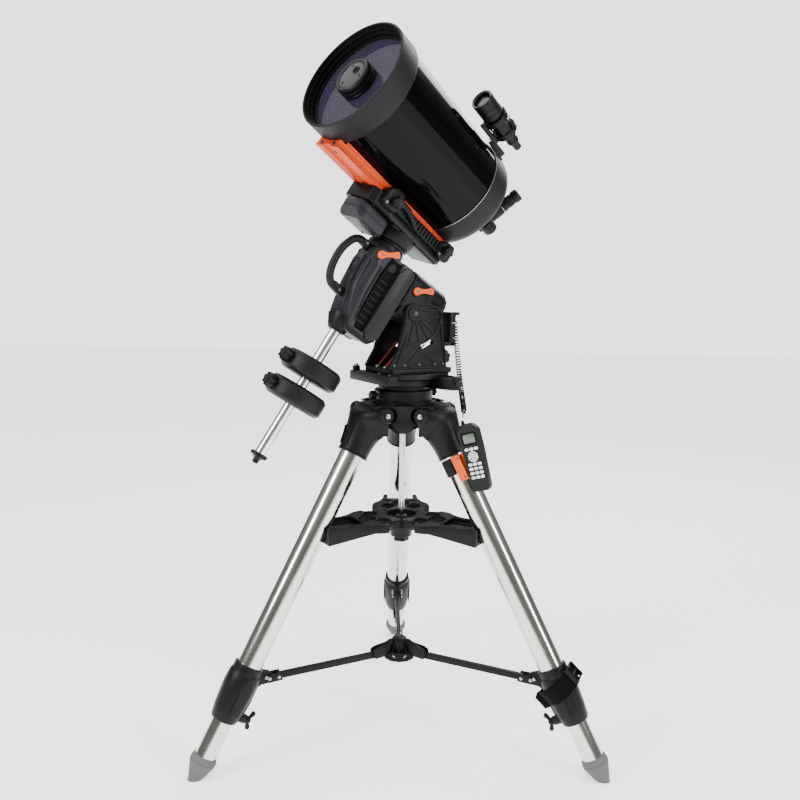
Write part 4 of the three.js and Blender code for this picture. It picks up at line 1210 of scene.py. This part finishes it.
def clutch_lever(name, place, body):
    """A waisted orange lever with a dished grip, turning on its round end."""
    outline = (arc(0, 0, 11, 46, 314, 14) + [(14, -6.8), (22, -6.2), (34, -6.8), (44, -9.2), (51, -9.4),
               (54.2, -6), (54.6, 0), (54.2, 6), (51, 9.4), (44, 9.2), (34, 6.8), (22, 6.2), (14, 6.8)])
    arm = prism(outline, 1, 11.6, ORANGE, 2.2, 4)
    dish = at(prism(round_rect(-22, 22, -3.4, 3.4, 3.2), 10.2, 14, ORANGE, 0), 24)
    arm = resharpened(cut(arm, dish), 28)
    hub = cylinder(9.2, 0, 2, PLASTIC, 40, 0.4)
    screw = at(cap_screw(4, 2.2, DULL), 0, 0, 10.4)
    piece(f"{name}_grip", [arm, hub, screw], place @ turned(-QUARTER, "X"), body, name)


# ------------------------------------------------------------ declination housing and weights
def dec_body():
    side = [(-92, 44), (-86, 60), (-72, 66), (34, 66), (46, 56), (54, 26), (46, -60), (22, -142),
            (4, -170), (-20, -178), (-74, -178), (-92, -160)]
    plan = [(-92, -44), (-80, -58), (26, -58), (44, -46), (54, -22), (56, 0), (54, 22), (44, 46),
            (26, 58), (-80, 58), (-92, 44)]
    body = overlap(side_prism(side, -80, 80, GREY, 0), prism(plan, -200, 80, GREY, 0))
    outline = [(-46, -158), (-14, -158), (-4, -120), (2, 0), (-6, 62), (-14, 80), (-46, 80)]
    body = cut(body, side_prism(outline, 50, 80, GREY, 0), side_prism(outline, -80, -50, GREY, 0))
    return softened(body, 2.6, 3)


def dec_housing():
    shapes = [dec_body()]
    collar = lathe([(0, 62), (54, 62), (54, 82), (52, 86), (50, 88), (50, 95), (48.5, 96),
                    (0, 96)], CAST, 96)
    nose = lathe([(15.9, -190), (22, -190), (26, -187), (31, -176), (38, -160), (41, -142),
                  (15.9, -142)], CAST,
                 72, 40)
    for s in (-1, 1):
        rim = side_prism([(-92, -160), (-74, -179.5), (-8, -179.5), (8, -174), (24, -146),
                          (18, -140), (2, -164),
                          (-70, -166), (-84, -152)], s * 48 - 12, s * 48 + 12, CAST, 3, 3)
        shapes.append(rim)
        band = side_prism([(-93, -150), (-76, -168), (-58, -168), (-46, -152), (-44, 30),
                           (-54, 54), (-72, 66),
                           (-86, 60), (-93, 46)], s * 61 - 3.5, s * 61 + 3.5, BAND, 2.4, 4)
        shapes.append(band)
        edge = side_prism([(-48.5, -148), (-46.2, -148), (-45, 30), (-54, 52), (-56, 51), (-47.4, 29)],
                          s * 65.2 - 0.9, s * 65.2 + 0.9, GREY, 0.5)
        shapes.append(edge)
        floor_strip = side_prism([(-45, -156), (-15, -156), (-5, -120), (1, 0), (-7, 58), (-45, 58)],
                                 s * 49 - 2, s * 49 + 2, DARK, 0.5)
        shapes.append(floor_strip)
        for i in range(8):
            z = -140 + i * 18
            fin = side_prism([(-40, z), (-10, z), (-10, z + 5), (-40, z + 5)], s * 52 - 2.4,
                             s * 52 + 2.4, CAST, 1)
            shapes.append(fin)
        for x in (-42, -9):
            strip = sweep([(x, s * 53, 44), (x + 1, s * 53, -60), (x - 4, s * 52, -146)], 1.8, CAST, 12)
            shapes.append(strip)
        gear = placed(cylinder(13, 0, 7, CAST, 48, 1.4), moved(-24, s * 47,
                                                               34) @ turned(-s * QUARTER, "X"))
        shapes.append(gear)
        for x, y in ((8, 59.4), (24, 59.2)):
            ridge = sweep([(x, s * y, 20), (x - 1, s * y, -60), (x - 12, s * (y - 0.6), -142)],
                          [2.6, 2.2], BAND, 12)
            shapes.append(ridge)
        corner = sweep([(47, s * 47, 20), (41, s * 47, -60), (18, s * 46, -136)], 3, GREY, 12)
        shapes.append(corner)
        mark = placed(cylinder(13.5, 0, 2.4, GREY, 48, 0.8),
                      moved(30, s * 57, 44) @ turned(-s * QUARTER, "X"))
        shapes.append(mark)
    back = block((-96, -90), (-40, 40), (-150, 40), CAST, 2)
    front_panel = side_prism([(55, 30), (58, 20), (52, -56), (34, -112), (30, -110), (47, -56),
                              (53, 20)], -26, 26,
                             GREY, 1.4)
    dial = placed(ring(24, 19, 0, 3, CAST, 64, 0.8), moved(54.5, 0, -8) @ turned(math.radians(92), "Y"))
    shapes += [collar, nose, back, front_panel, dial]
    for x, y in ((-72, 40), (-72, -40), (20, 46), (20, -46)):
        shapes.append(at(cap_screw(3.8, 2.6, DULL), x, y, 65.6))
    shaft = lathe([(0, SHAFT_END_Z), (14.7, SHAFT_END_Z), (SHAFT_R, SHAFT_END_Z + 0.8), (SHAFT_R, -125),
                   (14.7, -124), (0, -124)], CHROME, 72)
    piece("declination_housing_casting", shapes, RA, "declination_housing", "dec_housing")
    piece("counterweight_bar", [shaft], RA, "declination_housing", "counterweight_shaft")


HANDLE_POINTS = [(57, 0, 54), (78, 0, 58), (98, 0, 44), (112, 0, 2), (108, 0, -52), (88, 0, -86),
                 (47, 0, -92)]


def carry_handle():
    path = smoothed([Vector(p) for p in HANDLE_POINTS], 10)
    grip = sweep(path, HANDLE_BAR_R, HANDLE, 32)
    upper = side_prism([(48, 42), (64, 45), (76, 47), (76, 66), (64, 68), (48, 65)], -11.5, 11.5,
                       PLASTIC, 3, 3)
    lower = side_prism([(42, -80), (66, -78), (80, -76), (88, -84), (80, -99), (58, -104),
                        (42, -104)], -11.5,
                       11.5, PLASTIC, 3, 3)
    shapes = [grip, upper, lower]
    for x, z in ((60, 58), (58, -91)):
        for s in (-1, 1):
            shapes.append(placed(cap_screw(3.8, 2, DULL),
                                 moved(x, s * 11, z) @ turned(-s * QUARTER, "X")))
    piece("carry_handle_grip", shapes, RA, "declination_housing", "carry_handle")


def counterweight(name):
    place = RA @ moved(0, 0, WEIGHT_Z[name]) @ turned(math.radians(12), "Z")
    body = lathe([(16.2, -28), (73, -28), (75.5, -27.2), (82.6, -21), (84.2, -19), (85, -16.5),
                  (85, 16.5),
                  (84.2, 19), (82.6, 21), (75.5, 27.2), (73, 28), (16.2, 28)], IRON, 128, 18)
    hole = placed(cylinder(5.6, 0, 100, IRON, 32), turned(QUARTER, "Y"))
    spot = placed(cylinder(17, 81.6, 100, IRON, 48), turned(QUARTER, "Y"))
    body = resharpened(cut(body, hole, spot), 30)
    bush = lathe([(16.2, -28.8), (21, -28.8), (22, -28), (22, 28), (21, 28.8), (16.2, 28.8)], BAND, 64)
    piece(f"weight_casting_{name}", [body, bush], place, f"counterweight_{name}",
          f"counterweight_{name}")
    stem = cylinder(4.9, 19, 92, BOLT, 24)
    collar = cylinder(12, 83, 89, PLASTIC, 40, 1)
    grip = prism(lobes(20.4, 7, 4.6, 10), 88, 109.5, PLASTIC, 2.6, 3)
    cap = cylinder(9, 109, 111.5, BAND, 40, 0.8)
    piece(f"weight_knob_{name}", [stem, collar, grip, cap], place @ turned(QUARTER, "Y"),
          f"counterweight_knob_{name}", f"counterweight_knob_{name}")


def shaft_end_cap():
    z = SHAFT_END_Z - 0.3
    cap = lathe([(0, z), (22, z), (25, z - 2), (25, z - 7), (23, z - 10), (15, z - 13), (11, z - 17),
                 (0, z - 17)], SATIN, 72, 26)
    stem = lathe([(0, z - 30), (6.5, z - 30), (9, z - 27.5), (9, z - 12), (11, z - 11),
                  (0, z - 11)], PLASTIC, 40)
    ribs = [placed(block((14, 25.2), (-1.4, 1.4), (z - 11, z - 1), PLASTIC, 0.8),
                   turned(math.radians(60 * i), "Z"))
            for i in range(6)]
    piece("shaft_end_screw", [cap, stem, *ribs], RA, "shaft_end_cap", "shaft_end_cap")


azimuth_base()
azimuth_knob("north", 1)
azimuth_knob("south", -1)
side_plate("near", 1)
side_plate("far", -1)
latitude_knob()
polar_housing()
clutch_lever("ra_clutch_lever", POLAR @ moved(-121, 56.3, 20) @ turned(math.pi + LATITUDE, "Y"),
             "ra_clutch_lever")
dec_housing()
carry_handle()
clutch_lever("dec_clutch_lever", RA @ moved(30, 58.3, 44) @ turned(math.pi + LATITUDE, "Y"),
             "dec_clutch_lever")
for weight_name in WEIGHT_Z:
    counterweight(weight_name)
shaft_end_cap()


# ------------------------------------------------------------ saddle
SADDLE_TOP = 172
SADDLE_KNOB_X = {"front": 120, "back": -116}


def saddle_jaw(side):
    """A clamp jaw along the rail's edge, toothed below, with a knuckle at each end."""
    top = JAW_TOP
    jaw = end_prism([(side * 51, 150), (side * 78, 150), (side * 78, top - 4), (side * 74, top),
                     (side * 45.5, top), (side * 51, SADDLE_TOP)], -146, 150, CAST, 1.2)
    notches = []
    for i in range(14):
        x = -118 + i * 13
        notches.append(block((x, x + 5), (side * 76 - 6, side * 76 + 6), (154, 200), CAST, 0))
    shapes = [resharpened(cut(jaw, *notches))]
    for x, tall in ((-152, 196), (96, 200)):
        outline = [(x, 152), (x + 8, 142), (x + 44, 142), (x + 54, 154), (x + 54, tall - 16),
                   (x + 42, tall - 4), (x + 30, tall), (x + 6, tall), (x, tall - 8)]
        low, high = (52, 81) if tall > 196 else (56, 81)
        shapes.append(side_prism(outline, side * (low + high) / 2 - (high - low) / 2,
                                 side * (low + high) / 2 + (high - low) / 2, CAST, 3, 3))
        shapes.append(placed(cap_screw(4.4, 2.6), moved(x + 44, side * 80,
                                                        152) @ turned(-side * QUARTER, "X")))
    lever = sweep([(94, side * 84, 176), (70, side * 87, 172), (44, side * 87, 164),
                   (20, side * 84, 154)],
                  [9, 6.4], SATIN, 24, smooth_steps=8)
    shapes.append(lever)
    strap_bar = side_prism([(-140, 130), (92, 130), (104, 140), (92, 148), (-128, 148)], side * 61 - 3.4,
                           side * 61 + 3.4, BAND, 2)
    shapes.append(strap_bar)
    return shapes


def saddle():
    base = prism([(-150, -50), (-138, -62), (162, -62), (176, -48), (176, 48), (162, 62), (-138, 62),
                  (-150, 50)], 132, SADDLE_TOP, CAST, 2.6, 3)
    nose = side_prism([(140, 128), (176, 140), (176, 170), (140, 170)], -46, 46, BAND, 2)
    belly = prism([(-140, -52), (60, -52), (60, 52), (-140, 52)], 126, 134, BAND, 2)
    hub = lathe([(0, 96.4), (55, 96.4), (56, 97.4), (57, 100), (62, 108), (62, 130), (0, 130)], CAST, 96)
    motor = prism([(60, -30), (74, -46), (156, -48), (174, -40), (180, -26), (180, 26), (174, 40),
                   (156, 48), (74, 46), (60, 30)], 78, 131, GREY, 11, 5)
    slope = side_prism([(150, 60), (200, 60), (200, 124), (182, 100), (158, 76)], -70, 70, GREY, 0)
    seam = prism([(40, -60), (200, -60), (200, 60), (40, 60)], 103.4, 104.6, GREY, 0)
    motor = resharpened(cut(motor, slope, seam), 24)
    shapes = [base, nose, belly, hub, motor, *saddle_jaw(1), *saddle_jaw(-1)]
    for x in (76, 140):
        for y in (-30, 30):
            shapes.append(placed(cap_screw(3.8, 2, DULL), moved(x, y, 78.5) @ turned(math.pi, "X")))
    piece("saddle_clamp_body", shapes, DEC, "saddle", "saddle")
    for name, x in SADDLE_KNOB_X.items():
        stem = cylinder(5.8, 61, 96, BOLT, 24)
        collar = cylinder(10, 86, 91, PLASTIC, 40, 1)
        grip = prism(lobes(17, 6, 3.4), 90, 107.5, PLASTIC, 2.2, 3)
        cap = cylinder(8, 106.5, 108.6, BAND, 40, 0.8)
        piece(f"saddle_screw_{name}", [stem, collar, grip, cap],
              DEC @ moved(x, 0, SADDLE_KNOB_Z) @ turned(-QUARTER, "X"), f"saddle_knob_{name}",
              f"saddle_knob_{name}")


def rail():
    """The extruded rail, with grooves along its sides and a channel under its middle."""
    z = SADDLE_TOP + 0.3
    half = [(18, z), (50, z), (50, z + 1.4), (44, 182), (44, 184.6), (42.6, 185.4), (42.6, 188),
            (44, 188.8), (44, 194), (42.8, 194.8), (42.8, 196.6), (44, 197.4), (44, 203), (43, 204)]
    outline = half + [(-x, h) for x, h in reversed(half)] + [(-14, z + 5), (14, z + 5)]
    body = end_prism(outline, -162, 332, ANODISED, 0)
    rooms = [cylinder(TUBE_R + 0.9, -100, 330, ANODISED, 128), cylinder(REAR_CELL_R + 0.9, -400,
                                                                        -70, ANODISED, 96),
             cylinder(FRONT_CELL_R + 0.9, 311, 400, ANODISED, 96)]
    rooms = [placed(room, moved(0, 0, TUBE_AXIS_Z) @ ALONG_X) for room in rooms]
    body = softened(cut(body, *rooms), 0.5)
    shapes = [body]
    for y in (-26, 26):
        shapes.append(placed(cap_screw(5, 2.4, DULL), moved(332, y, 181) @ turned(QUARTER, "Y")))
    for x in (-140, 300):
        shapes.append(at(placed(cap_screw(4.6, 2.4, DULL), turned(math.pi, "X")), x, 0, z + 5.2))
    piece("dovetail_rail_bar", shapes, DEC, "tube", "dovetail_rail", slot="orange_metal")


# ------------------------------------------------------------ optical tube
def screws_round(radius, x, count, start, look, r=2.2):
    found = []
    for i in range(count):
        place = turned(start + 2 * math.pi * i / count, "X") @ moved(x, 0, radius)
        found.append(placed(cap_screw(r, 1.2, look), place))
    return found


def tube_shell():
    shell = placed(lathe([(148.5, TUBE_BACK), (TUBE_R, TUBE_BACK), (TUBE_R, TUBE_FRONT),
                          (148.5, TUBE_FRONT)],
                         GLOSS, 160), ALONG_X)
    shell.data.materials.append(DARK)
    for face in shell.data.polygons:
        if Vector((0, face.center.y, face.center.z)).dot(face.normal) < 0:
            face.material_index = 1
    piece("optical_tube_shell", [shell], TUBE, "tube", "optical_tube")


def front_cell():
    back = TUBE_FRONT + 0.3
    rim = CELL_FRONT
    outer = lathe([(148, back), (155.2, back), (156, back + 1), (158.4, back + 3),
                   (FRONT_CELL_R, back + 8),
                   (FRONT_CELL_R, rim - 2), (159, rim - 0.6), (157.4, rim), (154, rim), (152.6, rim - 1),
                   (152, 372), (149, 371), (149, 360), (145.2, 359), (145.2, back + 6)], CELL, 160, 24)
    inner = ring(151.9, 145.3, 352, 358.6, DARK, 144, 0.6)
    retainer = ring(148.8, 138, 346.6, 350, SATIN, 144, 0.8)
    outer.data.materials.append(DARK)
    for face in outer.data.polygons:
        middle = Vector((face.center.x, face.center.y, 0))
        if middle.dot(face.normal) < -0.2 * middle.length and middle.length < 154:
            face.material_index = 1
    glints = []
    for t in (96, 118, 200, 214):
        glints.append(placed(block((148.2, 149), (-5, 5), (358, 359.6), BOLT, 0.2),
                             turned(math.radians(t), "Z")))
    shapes = [placed(s, ALONG_X) for s in (outer, inner, retainer, *glints)]
    shapes += screws_round(143.4, 350, 6, 0.3, SATIN, 2.6)
    shapes += screws_round(FRONT_CELL_R - 0.3, 330, 8, 0.2, SATIN, 2.0)
    piece("front_cell_ring", shapes, TUBE, "tube", "front_cell")


def corrector():
    # The plate carries the coating tint and the painted shade of the tube inside.
    plate = placed(lathe([(47, 340), (144.4, 340), (144.6, 340.2), (144.6, 345.8), (144.4, 346),
                          (47, 346)],
                         CORRECTOR_TINT_AND_PAINTED_SHADE, 144, 20), ALONG_X)
    piece("corrector_glass", [plate], TUBE, "tube", "corrector_plate")


def secondary():
    """The holder in the corrector's middle, with its face plate, and the baffle behind."""
    barrel = lathe([(0, 300), (39, 290), (41, 292), (44, 339), (46.6, 339.4), (46.6, 346.6), (52, 346.8),
                    (52, 352), (50.6, 353), (50.6, 356), (52, 357), (52, 362), (50.6, 363), (50.6, 366),
                    (52, 367), (52, 372), (50, 377), (47, 379.4), (44, 380), (42, 377.6), (0, 377.6)],
                   SATIN, 96, 24)
    face = lathe([(0, 377), (38, 377), (38, 378.2), (30, 378.8), (12, 379.2), (0, 379.2)], SILVER,
                 96, 20)
    bevel = lathe([(38, 377.4), (42, 377.4), (42, 379.6), (40, 379.6)], BAND, 96, 20)
    lip = ring(46.4, 44.6, 379.6, 380.2, DULL, 96, 0.2)
    eye = at(ring(11, 8.4, 378.4, 381, SATIN, 48, 0.6), -14, 8)
    pupil = at(cylinder(8.6, 378.4, 379.8, DARK, 48, 0.3), -14, 8)
    shapes = [placed(s, ALONG_X) for s in (barrel, face, bevel, lip, eye, pupil)]
    for t in (150, 270, 30):
        place = turned(math.radians(t), "X") @ moved(378.6, 0, 30) @ ALONG_X
        shapes.append(placed(cap_screw(3.4, 1, SATIN), place))
    # The secondary mirror disc carries the painted dark reflection colour.
    mirror = placed(cylinder(34, 289.2, 290.4, MIRROR_PAINTED_DARK_REFLECTION, 64), ALONG_X)
    shapes.append(mirror)
    piece("secondary_mirror_holder", shapes, TUBE, "tube", "secondary_holder")


FOCUS_PLACE = (98, -42)


def rear_cell():
    back = CELL_BACK
    lip = TUBE_BACK - 0.3
    shell = lathe([(25.2, back), (60, back), (62, back - 0.1), (116, back - 0.1), (122, back + 2),
                   (134, -164),
                   (145, -154), (151, -143), (REAR_CELL_R, -130), (REAR_CELL_R, lip - 3), (152.6, lip),
                   (148, lip), (148, -132), (120, -166), (36, -166), (34.5, -90), (28, 150),
                       (25.2, 150)],
                  CELL, 160, 22)
    hole = placed(cylinder(7.6, -200, -100, CELL, 32), moved(-FOCUS_PLACE[1], FOCUS_PLACE[0]))
    shell = resharpened(cut(shell, hole), 22)
    seam = ring(REAR_CELL_R + 0.25, 152, lip - 2.2, lip - 0.9, BOLT, 160, 0.2)
    port = ring(42, 26, back - 0.2, back + 1, SATIN, 96, 0.4)
    shapes = [placed(s, ALONG_X) for s in (shell, seam, port)]
    shapes += screws_round(REAR_CELL_R - 0.2, -92, 8, 0.35, SATIN, 2.0)
    for low, high in ((-14, -9.6), (9.6, 14)):
        rail_side = block((-124, -80), (150, 159), (low, high), SATIN, 1)
        shapes.append(placed(rail_side, turned(FINDER_ANGLE, "X")))
    for t in (70, 200, 310):
        place = turned(math.radians(t), "X") @ moved(back - 0.1, 0, 90) @ turned(-QUARTER, "Y")
        shapes.append(placed(prism(lobes(11, 5, 2), 0, 9, PLASTIC, 1.4), place))
    piece("rear_cell_casting", shapes, TUBE, "tube", "rear_cell")
    # The primary mirror carries the painted dark reflection colour.
    glass = placed(lathe([(37.2, -110), (90, -108), (141.6, -104), (141.8, -128), (37.2, -128)],
                         MIRROR_PAINTED_DARK_REFLECTION, 144, 20),
                   ALONG_X)
    piece("primary_mirror_glass", [glass], TUBE, "primary_mirror", "primary_mirror")


def focus_knob():
    stem = cylinder(6.8, -176, -150, BOLT, 32)
    grip = prism(lobes(21, 18, 1.4, 6), -213, CELL_BACK - 1.6, SATIN, 1.6, 2)
    cap = cylinder(14, -214, -212.4, BAND, 48, 0.5)
    place = TUBE @ moved(0, *FOCUS_PLACE) @ ALONG_X
    piece("focus_knob_grip", [stem, grip, cap], place, "focus_knob", "focus_knob")


def star_diagonal():
    x = DIAGONAL_X
    barrel = placed(lathe([(0, x), (23, x), (24, x + 1), (24, -216), (30, -214), (31.4, -212),
                           (37, -198), (38, -196),
                           (38, CELL_BACK - 0.3), (0, CELL_BACK - 0.3)], SATIN, 80), ALONG_X)
    body = prism([(x + 24, -22), (x + 24, 24), (x - 24, 24), (x - 24, 10), (x - 10, -24),
                  (x + 20, -24)], -22, 22,
                 CAST, 3, 3)
    holder = placed(lathe([(16.2, 20), (20, 20), (21, 22), (21, 34), (20, 35), (20, 37), (21, 38),
                           (21, 60),
                           (19.5, 65), (18.4, 66), (16.2, 66)], SATIN, 72), turned(-QUARTER, "X"))
    at(holder, x)
    stem = placed(cylinder(2.6, 18, 30, CHROME, 20), moved(x, 52, 0))
    thumb = placed(prism(lobes(5.4, 10, 0.8, 5), 28, 37, CHROME, 0.8), moved(x, 52, 0))
    knurl = placed(prism(lobes(38.2, 40, 0.9, 4), -194, -180, SATIN, 0), ALONG_X)
    piece("star_diagonal_body", [barrel, body, holder, stem, thumb, knurl], DIAGONAL, "star_diagonal",
          "star_diagonal")
    lens = lathe([(0, 34), (15.4, 34), (15.8, 35), (15.8, 66), (15.8, 66.5), (18.4, 66.5),
                  (19, 67.4), (19, 79),
                  (17.4, 83), (17, 85), (17, 98), (17, 111), (19.2, 115.4), (19.5, 117), (19.5, 128.6),
                  (18.6, 130.6), (16, 133.4), (13.4, 132.8), (12, 130), (0, 129)], SATIN, 72, 24)
    grip = prism(lobes(17.8, 32, 0.7, 4), 88, 106, PLASTIC, 0)
    line = ring(19.3, 18.8, 71.4, 72.6, BOLT, 64, 0.1)
    eye = lathe([(0, 129), (12, 129), (11, 130.2), (6, 131), (0, 131.2)], LENS, 48, 40)
    piece("eyepiece_barrel", [lens, grip, line, eye], DIAGONAL @ moved(x) @ turned(-QUARTER, "X"),
          "eyepiece", "eyepiece")


# ------------------------------------------------------------ finder
def finder():
    scope = lathe([(0, -138), (8, -138), (10.4, -137), (11, -134), (12, -113), (15.6, -111),
                   (17, -108), (17, -100),
                   (15.8, -99), (15.8, -93), (17, -92), (17, -84), (22, -77), (25, -72), (25, 4),
                       (27, 5),
                   (31, 8), (31, 22), (29.8, 23), (29.8, 25), (31, 26), (31, 40), (29.8, 41),
                       (29.8, 43), (31, 44),
                   (31, 64), (30, 67), (28.6, 68), (27.4, 66), (27, 52), (0, 52)], SATIN, 88, 24)
    glass = lathe([(0, 52), (26.9, 52), (24, 55), (14, 57.6), (0, 58.6)], LENS, 72, 40)
    # Thread ridges inside the dew shield, coloured bright zinc: a painted highlight along each ridge.
    threads_painted_highlight = [ring(27.4, 26.2, x, x + 0.8, BOLT, 72, 0.1) for x in (60, 62.4, 64.8)]
    shapes = [placed(s, ALONG_X) for s in (scope, glass, *threads_painted_highlight)]
    piece("finder_tube", shapes, FINDER, "finder", "finder_scope")
    rings = []
    for x in (-60, -8):
        rings.append(placed(ring(34.5, 25.6, x - 9, x + 9, SATIN, 80, 1.6), ALONG_X))
    web = block((-60, -8), (-30.5, -26.5), (-15, 15), SATIN, 1.5)
    side_web = block((-60, -8), (-14, 14), (-30.5, -27), SATIN, 1.5)
    shapes = [*rings, web, side_web]
    beam = block((-71, 1), (-46, -32), (-10, 10), SATIN, 2)
    stalk = block((-118, -60), (-57, -38), (-8.6, 8.6), SATIN, 2)
    shapes += [beam, stalk]
    for angle, x in ((80, -60), (200, -60), (320, -60)):
        turn = turned(math.radians(angle), "X") @ moved(x, 0, 33)
        stem = placed(cylinder(2.4, 0, 12, CHROME, 20), turn)
        head = placed(prism(lobes(5.4, 10, 0.8, 5), 12, 19, CHROME, 0.8), turn)
        shapes += [stem, head]
    clamp = placed(cylinder(3, 0, 14, CHROME, 20), moved(-90, -49, 8))
    head = placed(prism(lobes(6.4, 8, 1, 5), 12, 20, CHROME, 0.8), moved(-90, -49, 8))
    shapes += [clamp, head]
    piece("finder_ring_bracket", shapes, FINDER, "finder", "finder_bracket")


saddle()
rail()
tube_shell()
front_cell()
corrector()
secondary()
rear_cell()
focus_knob()
star_diagonal()
finder()
